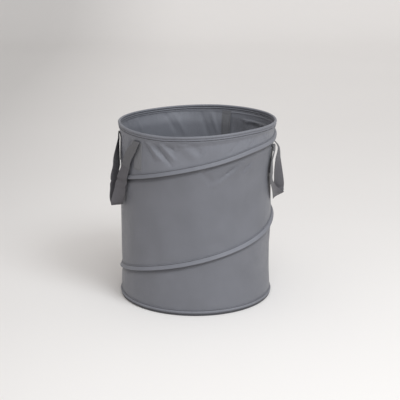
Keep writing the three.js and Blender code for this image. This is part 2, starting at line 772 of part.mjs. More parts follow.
// Spiral spring
const spring = new THREE.Group();
const channelStart = Math.round((CHANNEL_START_TURN_SHARE * FULL_TURN) / FACET_ANGLE) * FACET_ANGLE;
const channelEnd = SPIRAL_TURNS * FULL_TURN - channelStart;
const tail = THREE.MathUtils.radToDeg(WIRE_TAIL_LENGTH / BASE_WALL_RADIUS);
spring.add(
  piece("spiral_channel", spiralChannel(channelStart, channelEnd), binding),
  piece("spiral_wire", spiralWire(channelStart - tail, channelEnd + tail), steel),
  piece("spiral_upper_cap", wireCap(channelStart - tail, 1), plastic),
  piece("spiral_lower_cap", wireCap(channelEnd + tail, -1), plastic),
);

// Handles. The left pair of folds lies under the rim hem, the right pair under the spiral channel.
const handles = new THREE.Group();
const leftMiddle = FRONT_AZIMUTH - HANDLE_FROM_FRONT_ANGLE;
const rightMiddle = FRONT_AZIMUTH + HANDLE_FROM_FRONT_ANGLE;
const leftFold = RIM_HEM_FOOT - LEFT_FOLD_DROP;
const rightFrontStrap = rightMiddle - STRAP_FROM_HANDLE_ANGLE;
const rightFold = spiralHeight(woundAt(rightFrontStrap)) - CHANNEL_RADIUS - RIGHT_FOLD_SPACE;
for (const [side, middle, forward, fold] of [
  ["left", leftMiddle, 1, leftFold],
  ["right", rightMiddle, -1, rightFold],
]) {
  for (const [place, way] of [
    ["front", 1],
    ["rear", -1],
  ]) {
    const azimuth = middle + way * forward * STRAP_FROM_HANDLE_ANGLE;
    handles.add(piece(`${side}_${place}_strap_end`, strapEnd(azimuth, fold, strapFoot(azimuth, fold)), webbing));
  }
}
const overStrap = CLOTH_THICKNESS / 2 + CLEARANCE + WEBBING_THICKNESS + LOOP_SPACE;
const passWall = (height) => Math.max(BASE_DIAMETER / 2 + LOOP_SPACE, coilRadius(height) + overStrap);
const leftCoil = spiralHeight(woundAt(leftMiddle));
const passCoil = channelSeat(woundAt(leftMiddle), leftCoil) + 2 * CHANNEL_RADIUS + LOOP_SPACE;
const leftInside = (height) => {
  const up = (height - (leftCoil - 3 * FIN_HEIGHT)) / (2 * FIN_HEIGHT);
  return lerp(passWall(height), Math.max(passWall(height), passCoil), THREE.MathUtils.smoothstep(up, 0, 1));
};
handles.add(
  piece("left_handle_loop", handleLoop(leftMiddle, 1, leftFold, LEFT_LOOP_DROP, LEFT_LOOP_SHARES, leftInside), webbing),
  piece(
    "right_handle_loop",
    handleLoop(rightMiddle, -1, rightFold, RIGHT_LOOP_DROP, RIGHT_LOOP_SHARES, passWall),
    webbing,
  ),
);

const hamper = new THREE.Group();
hamper.name = "pop_up_laundry_hamper";
hamper.add(base, wall, spring, rim, handles);

export default hamper;
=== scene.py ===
"""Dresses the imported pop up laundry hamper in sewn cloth, webbing, stitching and spring steel.

Lengths are in metres and angles in degrees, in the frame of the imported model: +Z up, the origin on
the floor under the middle of the base and the front towards -Y. Azimuth 0 is +X and grows towards +Y.
The winding angle runs the other way, from the upright back seam and from the spiral's upper end.
"""

import logging
import math
from dataclasses import dataclass, field
from enum import Enum
from typing import Callable, Sequence

import bpy
import numpy as np
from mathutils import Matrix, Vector

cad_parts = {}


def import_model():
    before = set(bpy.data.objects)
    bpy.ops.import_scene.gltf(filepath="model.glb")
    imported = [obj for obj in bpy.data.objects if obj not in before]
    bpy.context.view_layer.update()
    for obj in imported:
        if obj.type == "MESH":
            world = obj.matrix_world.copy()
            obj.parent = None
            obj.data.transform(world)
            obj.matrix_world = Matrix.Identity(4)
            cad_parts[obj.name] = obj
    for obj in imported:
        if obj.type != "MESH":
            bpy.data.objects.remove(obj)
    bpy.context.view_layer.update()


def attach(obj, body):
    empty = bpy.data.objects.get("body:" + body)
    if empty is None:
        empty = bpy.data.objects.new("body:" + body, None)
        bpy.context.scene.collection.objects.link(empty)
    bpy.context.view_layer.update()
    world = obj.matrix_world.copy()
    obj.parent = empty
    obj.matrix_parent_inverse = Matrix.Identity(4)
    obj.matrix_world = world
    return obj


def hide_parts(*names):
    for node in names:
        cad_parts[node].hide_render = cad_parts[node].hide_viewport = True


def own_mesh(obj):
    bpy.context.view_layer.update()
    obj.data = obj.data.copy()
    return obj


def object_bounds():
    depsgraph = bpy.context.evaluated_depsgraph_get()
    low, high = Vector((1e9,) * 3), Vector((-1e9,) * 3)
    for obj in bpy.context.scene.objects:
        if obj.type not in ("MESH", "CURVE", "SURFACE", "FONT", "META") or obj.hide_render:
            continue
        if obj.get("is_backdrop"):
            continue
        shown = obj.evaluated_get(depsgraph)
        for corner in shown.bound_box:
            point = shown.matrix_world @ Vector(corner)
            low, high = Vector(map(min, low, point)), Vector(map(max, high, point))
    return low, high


Table = Sequence[Sequence[float]]
Colour = tuple[float, float, float]
Socket = tuple[bpy.types.Node, str | int]

MM = 0.001
TURN = 360.0
UV_NAME = "cloth_metres"
# Name of the point attribute that holds painted shade: how much the materials darken a point's colour, as
# if it lay in shadow.
PAINTED_SHADE_NAME = "painted_shade"
STITCH_PITCH = 3.4 * MM
STITCH_LENGTH = 2.6 * MM
WIRE_SIDES = 12
CRISP_EDGE = 50.0
BAND_ACROSS = np.linspace(-1, 1, 19)
BAND_SWELL = np.sqrt(np.clip(1 - np.abs(BAND_ACROSS) ** 12, 0.1, None))
LOG = logging.getLogger("hamper")


class Body(str, Enum):
    """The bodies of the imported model."""

    BASE = "base"
    RIM = "rim"
    LEFT_STRAPS = "left_straps"
    RIGHT_STRAPS = "right_straps"
    LEFT_HANDLE = "left_handle"
    RIGHT_HANDLE = "right_handle"


class Slot(str, Enum):
    """The record's material slots."""

    CLOTH = "cloth"
    BINDING = "binding"
    TAPE = "tape"
    WEBBING = "webbing"
    STEEL = "steel"
    CRIMP = "crimp"
    PLASTIC = "plastic"


def smoothstep(value: np.ndarray) -> np.ndarray:
    """Rises smoothly from 0 to 1 as the value does."""
    x = np.clip(value, 0.0, 1.0)
    return x * x * (3 - 2 * x)


def polar(azimuth: np.ndarray, radius: np.ndarray, height: np.ndarray) -> np.ndarray:
    """Points from places round the axis.

    Args:
        azimuth: Angles in degrees.
        radius: Distances from the axis.
        height: Heights.

    Returns:
        An array with a last axis of three.
    """
    azimuth, radius, height = np.broadcast_arrays(azimuth, radius, height)
    angle = np.radians(azimuth)
    return np.stack([radius * np.cos(angle), radius * np.sin(angle), height], axis=-1)


def unit(vectors: np.ndarray) -> np.ndarray:
    """The vectors at length one."""
    return vectors / np.linalg.norm(vectors, axis=-1, keepdims=True)


def outward(points: np.ndarray) -> np.ndarray:
    """Level directions away from the axis."""
    return unit(points * np.array([1, 1, 0]))


def turned(angle: np.ndarray) -> np.ndarray:
    """The same angle between -180 and 180."""
    return np.mod(angle + TURN / 2, TURN) - TURN / 2


def reach_along(line: np.ndarray) -> np.ndarray:
    """Distances along a line from its start to its points."""
    return np.concatenate([[0.0], np.cumsum(np.linalg.norm(np.diff(line, axis=0), axis=1))])


def arc(radius: float, start: float, stop: float, steps: int) -> np.ndarray:
    """Points [out, up] along an arc between two angles in degrees."""
    angle = np.radians(np.linspace(start, stop, steps + 1))
    return np.stack([radius * np.cos(angle), radius * np.sin(angle)], axis=-1)


def monotone_curve(rows: Table) -> Callable[[np.ndarray], np.ndarray]:
    """A smooth curve through rows of [x, y] that never overshoots them.

    Args:
        rows: The rows, with x growing.

    Returns:
        A function from x to y.
    """
    x, y = np.array(rows, float).T
    width = np.diff(x)
    slope = np.diff(y) / width
    before, after = slope[:-1], slope[1:]
    flat = before * after <= 0
    middle = np.where(flat, 0.0, 2 * before * after / np.where(flat, 1.0, before + after))
    tangent = np.concatenate([slope[:1], middle, slope[-1:]])

    def at(value: np.ndarray) -> np.ndarray:
        """The curve's y at some x.

        Args:
            value: Places x.

        Returns:
            Values y.
        """
        i = np.clip(np.searchsorted(x, value, side="right") - 1, 0, len(width) - 1)
        s = (value - x[i]) / width[i]
        return (
            (2 * s**3 - 3 * s**2 + 1) * y[i]
            + (s**3 - 2 * s**2 + s) * width[i] * tangent[i]
            + (3 * s**2 - 2 * s**3) * y[i + 1]
            + (s**3 - s**2) * width[i] * tangent[i + 1]
        )

    return at


def smooth_rows(rows: Table, steps: int) -> np.ndarray:
    """A curve through a table's rows, with some steps from each row to the next.

    Args:
        rows: The table.
        steps: Steps between rows.

    Returns:
        The denser table.
    """
    table = np.array(rows, float)
    padded = np.concatenate([table[:1], table, table[-1:]])
    out = []
    for a, b, c, d in zip(padded[:-3], padded[1:-2], padded[2:-1], padded[3:]):
        p, q, r = c - a, c - b, d - b
        for s in np.arange(steps) / steps:
            out.append(b + s * (p / 2 + s * (3 * q - p - r / 2 + s * (p / 2 + r / 2 - 2 * q))))
    return np.array([*out, table[-1]])


def spaced(path: np.ndarray, pitch: float, closed: bool = False) -> tuple[np.ndarray, np.ndarray]:
    """Evenly spaced points along a path.

    Args:
        path: Points close together.
        pitch: The wanted distance between the new points.
        closed: Whether the path returns to its start.

    Returns:
        The points, and the direction of the path at each.
    """
    line = np.concatenate([path, path[:1]]) if closed else path
    reach = reach_along(line)
    count = max(2, int(round(reach[-1] / pitch)))
    marks = (np.arange(count) + 0.5) * reach[-1] / count
    near = reach[-1] * 1e-4

    def at(where: np.ndarray) -> np.ndarray:
        """Points at some distances along the path."""
        return np.stack([np.interp(where, reach, line[:, k]) for k in range(3)], axis=-1)

    return at(marks), unit(at(marks + near) - at(marks - near))


class Skin:
    """The points, faces, texture places and painted shade of one piece, before it becomes a mesh."""

    def __init__(self) -> None:
        """Starts empty."""
        self.points: list[np.ndarray] = []
        self.corners: list[np.ndarray] = []
        self.sizes: list[np.ndarray] = []
        self.places: list[np.ndarray] = []
        self.painted_shades: list[np.ndarray] = []
        self.count = 0

    def _add(self, points: np.ndarray, groups: list[np.ndarray], places: list[np.ndarray]) -> None:
        """Adds closed bodies and turns their faces outwards.

        Args:
            points: The bodies' points.
            groups: Arrays of faces, each with as many corners as the array is wide.
            places: The texture places of their corners.
        """
        volume = 0.0
        for faces in groups:
            shape = points[faces]
            for k in range(1, faces.shape[1] - 1):
                volume += float(np.sum(shape[:, 0] * np.cross(shape[:, k], shape[:, k + 1])))
        order = -1 if volume < 0 else 1
        for faces, place in zip(groups, places):
            self.corners.append((faces[:, ::order] + self.count).ravel())
            self.sizes.append(np.full(len(faces), faces.shape[1]))
            self.places.append(place[:, ::order].reshape(-1, 2))
        self.points.append(points)
        self.count += len(points)

    def loft(
        self,
        rings: np.ndarray,
        closed: bool = False,
        halves: bool = True,
        painted_shade: np.ndarray | None = None,
    ) -> None:
        """Joins rings of points into a closed body.

        Args:
            rings: An array of ring, point and coordinate.
            closed: Whether the last ring joins the first.
            halves: Whether an end is closed between the ring's first and second half, as on a strip
                with two faces. Otherwise one face closes it.
            painted_shade: How much painted shade each point gets, from 0 to 1, for how deep it lies in a
                crease.
        """
        deep = np.broadcast_to(0.0 if painted_shade is None else painted_shade, rings.shape[:2])
        self.painted_shades.append(deep.ravel())
        rows, size = rings.shape[:2]
        loop = np.concatenate([rings, rings[:1]]) if closed else rings
        around = np.concatenate([rings, rings[:, :1]], axis=1)
        steps = np.linalg.norm(np.diff(loop, axis=0), axis=2).mean(axis=1)
        sides = np.linalg.norm(np.diff(around, axis=1), axis=2).mean(axis=0)
        along = np.concatenate([[0.0], np.cumsum(steps)])
        across = np.concatenate([[0.0], np.cumsum(sides)])
        i, j = np.meshgrid(np.arange(len(loop) - 1), np.arange(size), indexing="ij")
        i, j = i.ravel(), j.ravel()
        after, beside = (i + 1) % rows, (j + 1) % size
        near, far = i * size, after * size
        quads = np.stack([near + j, near + beside, far + beside, far + j], axis=1)
        u = np.stack([along[i], along[i], along[i + 1], along[i + 1]], axis=1)
        v = np.stack([across[j], across[j + 1], across[j + 1], across[j]], axis=1)
        groups, places = [quads], [np.stack([u, v], axis=2)]
        if not closed:
            j = np.arange(size // 2 - 1)
            strip = np.stack([j, j + 1, size - 2 - j, size - 1 - j], axis=1)
            end = strip if halves else np.arange(size)[None, :]
            for faces in (end[:, ::-1], end + (rows - 1) * size):
                groups.append(faces)
                places.append(np.stack([0 * faces, across[faces % size]], axis=2))
        self._add(rings.reshape(-1, 3), groups, places)

    def stitches(
        self, centres: np.ndarray, along: np.ndarray, out: np.ndarray, length: float, radius: float
    ) -> None:
        """Adds short stitches whose ends dip into the cloth.

        Args:
            centres: The stitches' middles.
            along: The direction of each.
            out: The direction away from the cloth at each.
            length: A stitch's length.
            radius: The thread's radius.
        """
        along = unit(along)
        side = unit(np.cross(along, out))
        lift = np.cross(side, along)
        sides = 5
        angle = 2 * math.pi * np.arange(sides) / sides
        rows = np.array([(-0.5, -1.2, 0.35), (-0.3, 0.0, 1.0), (0.3, 0.0, 1.0), (0.5, -1.2, 0.35)])
        reach, rise, swell = rows.T[:, :, None]
        ahead = np.broadcast_to(reach * length, (len(rows), sides))
        aside, above = swell * radius * np.cos(angle), radius * (rise + swell * np.sin(angle))
        shape = np.stack([ahead, aside, above], axis=-1).reshape(-1, 3)
        frame = np.stack([along, side, lift], axis=1)
        points = centres[:, None, :] + np.einsum("kc,nci->nki", shape, frame)
        row, k = np.meshgrid(np.arange(len(rows) - 1), np.arange(sides), indexing="ij")
        near, beside = (row * sides + k).ravel(), (row * sides + (k + 1) % sides).ravel()
        quads = np.stack([near, beside, beside + sides, near + sides], axis=1)
        end = np.arange(sides)
        ends = np.stack([end[::-1], end + (len(rows) - 1) * sides])
        start = (np.arange(len(points)) * len(shape))[:, None, None]
        groups = [(faces[None] + start).reshape(-1, faces.shape[1]) for faces in (quads, ends)]
        self._add(points.reshape(-1, 3), groups, [np.zeros((*faces.shape, 2)) for faces in groups])
        self.painted_shades.append(np.zeros(points.shape[0] * points.shape[1]))

    def sew(
        self,
        path: np.ndarray,
        radius: float,
        side: int = 1,
        length: float = STITCH_LENGTH,
        closed: bool = False,
    ) -> None:
        """Sews an even line of stitches along a path."""
        centres, along = spaced(path, STITCH_PITCH, closed)
        self.stitches(centres, along, outward(centres) * side, length, radius)

    def make(self, name: str) -> bpy.types.Object:
        """Turns the skin into an object in the scene.

        Args:
            name: The piece's name.

        Returns:
            The object.
        """
        points, corners = np.concatenate(self.points), np.concatenate(self.corners)
        sizes = np.concatenate(self.sizes)
        mesh = bpy.data.meshes.new(name)
        mesh.vertices.add(len(points))
        mesh.vertices.foreach_set("co", points.astype(np.float32).ravel())
        mesh.loops.add(len(corners))
        mesh.loops.foreach_set("vertex_index", corners.astype(np.int32))
        mesh.polygons.add(len(sizes))
        mesh.polygons.foreach_set("loop_start", (np.cumsum(sizes) - sizes).astype(np.int32))
        mesh.update(calc_edges=True)
        layer = mesh.uv_layers.new(name=UV_NAME)
        layer.data.foreach_set("uv", np.concatenate(self.places).astype(np.float32).ravel())
        # Each point's share of painted shade, which the materials darken their colour by.
        crease = mesh.attributes.new(PAINTED_SHADE_NAME, "FLOAT", "POINT")
        crease.data.foreach_set("value", np.concatenate(self.painted_shades).astype(np.float32))
        mesh.shade_smooth()
        mesh.set_sharp_from_angle(angle=math.radians(CRISP_EDGE))
        mesh.update()
        made = bpy.data.objects.new(name, mesh)
        bpy.context.scene.collection.objects.link(made)
        return made


class Bench:
    """Builds the nodes of one material."""

    def __init__(self, name: str, roughness: float, metallic: float = 0.0) -> None:
        """Starts a material with one shader.

        Args:
            name: The material's name.
            roughness: The shader's own roughness.
            metallic: Its metalness.
        """
        self.material = bpy.data.materials.new(name)
        self.material.use_nodes = True
        self.tree = self.material.node_tree
        self.tree.nodes.clear()
        output = self.add("ShaderNodeOutputMaterial")
        self.shader = self.add("ShaderNodeBsdfPrincipled", Roughness=roughness, Metallic=metallic)
        self.link(self.shader, "BSDF", output, "Surface")

    def add(
        self, kind: str, settings: dict[str, object] | None = None, **inputs: object
    ) -> bpy.types.Node:
        """Adds a node.

        Args:
            kind: The node's type.
            settings: Its own options.
            **inputs: Values of its sockets, with _ for a space.

        Returns:
            The node.
        """
        node = self.tree.nodes.new(kind)
        for key, value in (settings or {}).items():
            setattr(node, key, value)
        for key, value in inputs.items():
            node.inputs[key.replace("_", " ")].default_value = value
        return node

    def link(
        self, source: bpy.types.Node, out: str | int, target: bpy.types.Node, into: str | int
    ) -> None:
        """Joins two sockets."""
        self.tree.links.new(source.outputs[out], target.inputs[into])

    def math(self, operation: str, first: float | Socket, second: float | Socket = 0.0) -> bpy.types.Node:
        """Adds a sum of two sockets or numbers.

        Args:
            operation: Blender's name of the sum.
            first: A number, or a node and its output.
            second: The same.

        Returns:
            The node.
        """
        node = self.add("ShaderNodeMath", {"operation": operation})
        for place, value in enumerate((first, second)):
            if isinstance(value, tuple):
                self.link(value[0], value[1], node, place)
            else:
                node.inputs[place].default_value = value
        return node

    def noise(self, wavelength: float, detail: float = 2.0) -> bpy.types.Node:
        """Adds soft noise in space.

        Args:
            wavelength: The size of its patches.
            detail: How many finer layers it has.

        Returns:
            The node, with the noise in its Fac.
        """
        source = self.add("ShaderNodeTexCoord")
        node = self.add("ShaderNodeTexNoise", Scale=1 / wavelength, Detail=detail, Roughness=0.55)
        self.link(source, "Object", node, "Vector")
        return node

    def tint(self, colour: Colour, shade: float, noise: bpy.types.Node) -> bpy.types.Node:
        """Lets a colour drift between itself and a darker one.

        Args:
            colour: The lighter colour.
            shade: The darker one as a share of it.
            noise: What decides between them.

        Returns:
            The ramp node, whose Color output is the result.
        """
        ramp = self.add("ShaderNodeValToRGB")
        low, high = ramp.color_ramp.elements
        low.position, high.position = 0.32, 0.68
        low.color = (*[c * shade for c in colour], 1.0)
        high.color = (*colour, 1.0)
        self.link(noise, "Fac", ramp, "Fac")
        return ramp

    def painted_shade_share(self, shade: float) -> bpy.types.Node:
        """A share that is 1 in the open and falls to the given shade where a point holds full painted
        shade.

        Args:
            shade: The share where the painted shade is fullest.

        Returns:
            The node with the share in its Result.
        """
        painted_shade = self.add("ShaderNodeAttribute", {"attribute_name": PAINTED_SHADE_NAME})
        share = self.add("ShaderNodeMapRange", From_Min=0.0, From_Max=1.0, To_Min=1.0, To_Max=shade)
        self.link(painted_shade, "Fac", share, "Value")
        return share

    def paint(self, ramp: bpy.types.Node, share: Socket) -> None:
        """Colours the shader with a share of a ramp's colour.

        Args:
            ramp: The ramp.
            share: A node and its output.
        """
        mix = self.add("ShaderNodeVectorMath", {"operation": "SCALE"})
        self.link(ramp, "Color", mix, 0)
        self.link(*share, mix, "Scale")
        self.link(mix, "Vector", self.shader, "Base Color")

    def spread(self, noise: bpy.types.Node, low: float, high: float) -> bpy.types.Node:
        """Maps noise to a range of numbers.

        Args:
            noise: The noise.
            low: The least number.
            high: The greatest.

        Returns:
            The node, with the number in its Result.
        """
        node = self.add("ShaderNodeMapRange", From_Min=0.3, From_Max=0.7, To_Min=low, To_Max=high)
        self.link(noise, "Fac", node, "Value")
        return node

    def bump(self, height: Socket, distance: float) -> None:
        """Adds relief on top of what the shader's normal already has.

        Args:
            height: A node and its output.
            distance: The relief's depth.
        """
        node = self.add("ShaderNodeBump", Distance=distance, Strength=1.0)
        self.link(height[0], height[1], node, "Height")
        for old in list(self.tree.links):
            if old.to_node == self.shader and old.to_socket.name == "Normal":
                self.tree.links.new(old.from_socket, node.inputs["Normal"])
        self.link(node, "Normal", self.shader, "Normal")


class Weave(Enum):
    """How a fabric is woven."""

    PLAIN = "plain"
    RIBBED = "ribbed"


@dataclass(frozen=True)
class FabricFinish:
    """A woven fabric: thread relief, soft creasing, sheen, a colour that drifts and painted shade in its
    creases.
    """

    name: str
    colour: Colour
    weave: Weave = Weave.PLAIN
    thread: float = 0.9 * MM
    relief: float = 0.07 * MM
    roughness: float = 0.56
    sheen: float = 0.03
    deepest_painted_shade: float = 0.27
    shade: float = 0.9
    drift: float = 90 * MM
    crease: float = 22 * MM
    crease_depth: float = 0.22 * MM
    sheen_roughness: float = 0.42
    specular: float = 0.5
    trough: float = 0.93
    crown: float = 1.06
    gloss: tuple[float, float] = (-0.05, 0.07)

    def material(self) -> bpy.types.Material:
        """Builds the material.

        Returns:
            The material.
        """
        bench = Bench(self.name, self.roughness)
        shader = bench.shader
        shader.inputs["Sheen Weight"].default_value = self.sheen
        shader.inputs["Sheen Roughness"].default_value = self.sheen_roughness
        shader.inputs["Specular IOR Level"].default_value = self.specular
        tone = bench.noise(self.drift)
        ramp = bench.tint(self.colour, self.shade, tone)
        threads = self._threads(bench)
        span = {"To_Min": self.trough, "To_Max": self.crown}
        lighten = bench.add("ShaderNodeMapRange", From_Min=-1.0, From_Max=1.0, **span)
        bench.link(threads, 0, lighten, "Value")
        # Painted shade: the colour darkens where the mesh marks a point as lying in a crease.
        painted_shade_share = bench.painted_shade_share(self.deepest_painted_shade)
        bench.paint(ramp, (bench.math("MULTIPLY", (lighten, "Result"), (painted_shade_share, "Result")), 0))
        rough = [self.roughness + change for change in self.gloss]
        gloss = bench.spread(bench.noise(self.drift / 3), *rough)
        bench.link(gloss, "Result", shader, "Roughness")
        bench.bump((bench.noise(self.crease, 3.0), "Fac"), self.crease_depth)
        bench.bump((threads, 0), self.relief)
        return bench.material

    def _threads(self, bench: Bench) -> bpy.types.Node:
        """The threads' relief.

        Args:
            bench: What builds the nodes.

        Returns:
            A node whose output rises from -1 to 1 on each thread's crown.
        """
        places = bench.add("ShaderNodeUVMap", {"uv_map": UV_NAME})
        split = bench.add("ShaderNodeSeparateXYZ")
        bench.link(places, "UV", split, "Vector")
        rate = 2 * math.pi / self.thread
        first = bench.math("MULTIPLY", (split, "X"), rate)
        second = bench.math("MULTIPLY", (split, "Y"), rate)
        if self.weave is Weave.PLAIN:
            warp, weft = bench.math("SINE", (first, 0)), bench.math("SINE", (second, 0))
            return bench.math("MULTIPLY", (warp, 0), (weft, 0))
        chevron = bench.math("PINGPONG", (split, "Y"), 4 * self.thread)
        slanted = bench.math("ADD", (split, "X"), (chevron, 0))
        ribs = bench.math("SINE", (bench.math("MULTIPLY", (slanted, 0), rate), 0))
        cords = bench.math("SINE", (bench.math("MULTIPLY", (split, "Y"), rate / 2), 0))
        return bench.math("MULTIPLY", (bench.math("ADD", (ribs, 0), (cords, 0)), 0), 0.5)


@dataclass(frozen=True)
class WireFinish:
    """Drawn or crimped steel with faint drawing marks and dull patches."""

    name: str
    colour: Colour
    roughness: float
    marks: float = 1.5 * MM
    depth: float = 0.04 * MM

    def material(self) -> bpy.types.Material:
        """Builds the material.

        Returns:
            The material.
        """
        bench = Bench(self.name, self.roughness, 1.0)
        ramp = bench.tint(self.colour, 0.8, bench.noise(12 * MM, 4.0))
        bench.link(ramp, "Color", bench.shader, "Base Color")
        gloss = bench.spread(bench.noise(5 * MM), self.roughness - 0.06, self.roughness + 0.12)
        bench.link(gloss, "Result", bench.shader, "Roughness")
        bench.bump((bench.noise(self.marks), "Fac"), self.depth)
        return bench.material


@dataclass(frozen=True)
class MouldedFinish:
    """Moulded plastic or matt paint with a fine grain, darkened by painted shade where the mesh marks it.
    """

    name: str
    colour: Colour
    roughness: float
    grain: float = 0.8 * MM
    depth: float = 0.05 * MM
    shade: float = 0.9
    deepest_painted_shade: float = 0.66
    drift: float = 20 * MM

    def material(self) -> bpy.types.Material:
        """Builds the material.

        Returns:
            The material.
        """
        bench = Bench(self.name, self.roughness)
        ramp = bench.tint(self.colour, self.shade, bench.noise(self.drift))
        # Painted shade from the mesh's painted shade attribute.
        bench.paint(ramp, (bench.painted_shade_share(self.deepest_painted_shade), "Result"))
        bench.bump((bench.noise(self.grain), "Fac"), self.depth)
        return bench.material


@dataclass
class Finishes:
    """Every finish of the hamper and its studio, built once."""

    cloth: FabricFinish = FabricFinish("wall_polyester", (0.172, 0.176, 0.2), roughness=0.42)
    # The same cloth painted lighter for the upper field: painted light where that field catches more of the
    # lamps.
    upper: FabricFinish = FabricFinish("upper_wall_polyester_painted_light", (0.204, 0.21, 0.24), roughness=0.42)
    binding: FabricFinish = FabricFinish(
        "hem_polyester",
        (0.194, 0.199, 0.228),
        thread=0.8 * MM,
        roughness=0.46,
        crease=9 * MM,
        crease_depth=0.1 * MM,
    )
    patch: FabricFinish = FabricFinish(
        "patch_polyester", (0.205, 0.207, 0.222), thread=0.8 * MM, crease=12 * MM, crease_depth=0.12 * MM
    )
    tab: FabricFinish = FabricFinish(
        "tab_polyester", (0.132, 0.131, 0.14), thread=0.8 * MM, crease=12 * MM, crease_depth=0.12 * MM
    )
    tape: FabricFinish = FabricFinish(
        "seam_ribbon", (0.15, 0.151, 0.164), thread=1.0 * MM, relief=0.1 * MM, crease=14 * MM
    )
    webbing: FabricFinish = FabricFinish(
        "handle_webbing",
        (0.112, 0.107, 0.118),
        weave=Weave.RIBBED,
        thread=1.5 * MM,
        relief=0.2 * MM,
        roughness=0.7,
        sheen=0.1,
        drift=40 * MM,
        crease=16 * MM,
        crease_depth=0.15 * MM,
    )
    thread: FabricFinish = FabricFinish(
        "sewing_thread",
        (0.05, 0.05, 0.056),
        thread=0.5 * MM,
        relief=0.05 * MM,
        drift=6 * MM,
        crease_depth=0.02 * MM,
    )
    steel: WireFinish = WireFinish("spring_steel", (0.55, 0.56, 0.58), 0.32)
    crimp: WireFinish = WireFinish("zinc_sleeve", (0.66, 0.66, 0.67), 0.4, marks=3 * MM)
    plastic: MouldedFinish = MouldedFinish("cap_plastic", (0.03, 0.03, 0.034), 0.5)
    studio: MouldedFinish = MouldedFinish(
        "studio_paper", (0.893, 0.866, 0.85), 0.9, grain=4 * MM, depth=0.02 * MM, shade=0.985, drift=1.4
    )
    made: dict[str, bpy.types.Material] = field(default_factory=dict)

    def put(self, piece: bpy.types.Object, name: str) -> None:
        """Gives a piece one of the finishes.

        Args:
            piece: The piece.
            name: The finish's name in this class.
        """
        if name not in self.made:
            self.made[name] = getattr(self, name).material()
        piece.data.materials.clear()
        piece.data.materials.append(self.made[name])


@dataclass(frozen=True)
class Fold:
    """A roll or crease in the wall's cloth along a line on it."""

    start: tuple[float, float]
    end: tuple[float, float]
    rise: float
    width: float
    crisp: float = 1.0

    def push(self, azimuth: np.ndarray, height: np.ndarray, per_degree: float) -> np.ndarray:
        """How far the fold pushes the cloth outwards.

        Args:
            azimuth: Places round the hamper.
            height: Heights.
            per_degree: The wall's length in a degree.

        Returns:
            Distances, negative inwards.
        """
        line = np.array([(self.end[0] - self.start[0]) * per_degree, self.end[1] - self.start[1]])
        length = float(np.linalg.norm(line))
        x = turned(azimuth - self.start[0]) * per_degree
        y = height - self.start[1]
        s = (x * line[0] + y * line[1]) / length**2
        off = np.abs(x * line[1] - y * line[0]) / length / self.width
        taper = smoothstep(s / 0.22 + 0.35) * smoothstep((1 - s) / 0.45)
        return self.rise * np.exp(-(off ** (2 * self.crisp))) * taper


def fold(
    start: float, top: float, end: float, foot: float, rise: float, width: float, crisp: float = 1.0
) -> Fold:
    """A fold from one azimuth and height to another, with all its lengths in millimetres."""
    return Fold((start, top * MM), (end, foot * MM), rise * MM, width * MM, crisp)


WALL_FOLDS = (
    fold(-146.5, 511, -132.5, 444, -4.9, 5.0, 0.6),
    fold(-141.5, 511, -126.0, 446, 4.6, 5.5, 0.7),
    fold(-136.5, 513, -119.0, 434, -5.3, 5.0, 0.6),
    fold(-131.0, 513, -116.5, 452, 3.4, 6.0),
    fold(-127.0, 513, -118.0, 484, -3.4, 4.0, 0.7),
    fold(-116.0, 512, -101.0, 456, 3, 12.0),
    fold(-107.0, 513, -99.0, 470, -1.9, 9.0),
    fold(-80.5, 474, -71.0, 511, -1.6, 4.5, 0.7),
    fold(-67.5, 474, -60.5, 508, 1.7, 5.0, 0.7),
    fold(-63.5, 482, -57.0, 510, -1.6, 4.0, 0.7),
    fold(-47.0, 508, -42.0, 494, 1.3, 4.0),
    fold(-88.5, 400, -69.5, 446, -3.7, 4.0, 0.6),
    fold(-84.5, 398, -66.5, 441, 2, 4.5),
    fold(-81.5, 414, -70.5, 441, -2.4, 3.4, 0.6),
    fold(-68.5, 414, -56.5, 444, -3.4, 3.8, 0.6),
    fold(-65.0, 412, -54.0, 440, 2, 4.5),
    fold(-101.0, 430, -88.0, 380, -2.3, 9.0),
    fold(-93.0, 384, -79.5, 402, 2.2, 9.0),
    fold(-46.0, 470, -34.0, 400, 1.6, 7.0),
    fold(-17.0, 505, -26.0, 440, -2.3, 6.0),
    fold(8.0, 512, 5.0, 452, 2.6, 6.0, 0.7),
    fold(15.5, 512, 18.0, 440, -2.6, 5.5, 0.7),
    fold(23.5, 512, 27.0, 430, 2.4, 6.5, 0.7),
    fold(31.0, 512, 38.0, 452, -2, 6.0),
    fold(66.0, 512, 58.0, 430, -2, 7.0),
    fold(74.0, 510, 64.0, 400, 1.8, 8.0),
    fold(96.0, 512, 84.0, 424, -1.8, 6.5),
    fold(103.0, 512, 92.0, 438, 1.8, 7.0),
    fold(132.0, 512, 124.0, 450, -1.8, 6.0),
    fold(146.0, 510, 137.0, 436, 2, 7.0),
    fold(158.0, 506, 149.0, 430, -2.2, 6.0, 0.7),
    fold(-160.0, 508, -166.0, 450, -3.8, 5.5, 0.7),
    fold(-172.0, 508, -177.0, 452, 3, 6.0),
    fold(30.0, 300, 44.0, 232, -1.6, 8.0),
    fold(38.0, 318, 50.0, 262, 1.4, 8.0),
    fold(150.0, 196, 136.0, 148, -1.4, 7.0),
    fold(118.0, 220, 104.0, 160, 1.2, 9.0),
    fold(-22.0, 170, -12.0, 118, -1.8, 8.0),
    fold(-30.0, 196, -36.0, 236, -1.6, 8.0),
)

# How far the rim waves up or down, in millimetres, by azimuth.
RIM_SWAY = (
    (-190.0, 6.5), (-180.0, 5.5), (-165.0, 3.0), (-148.0, -0.5), (-127.0, -3.6), (-95.0, -1.5),
    (-64.0, 2.4), (-40.0, 0.8), (-18.0, -1.8), (25.0, 0.2), (60.0, 3.0), (112.0, 2.5), (150.0, 5.5),
    (170.0, 6.5), (180.0, 5.5), (195.0, 3.0),
)

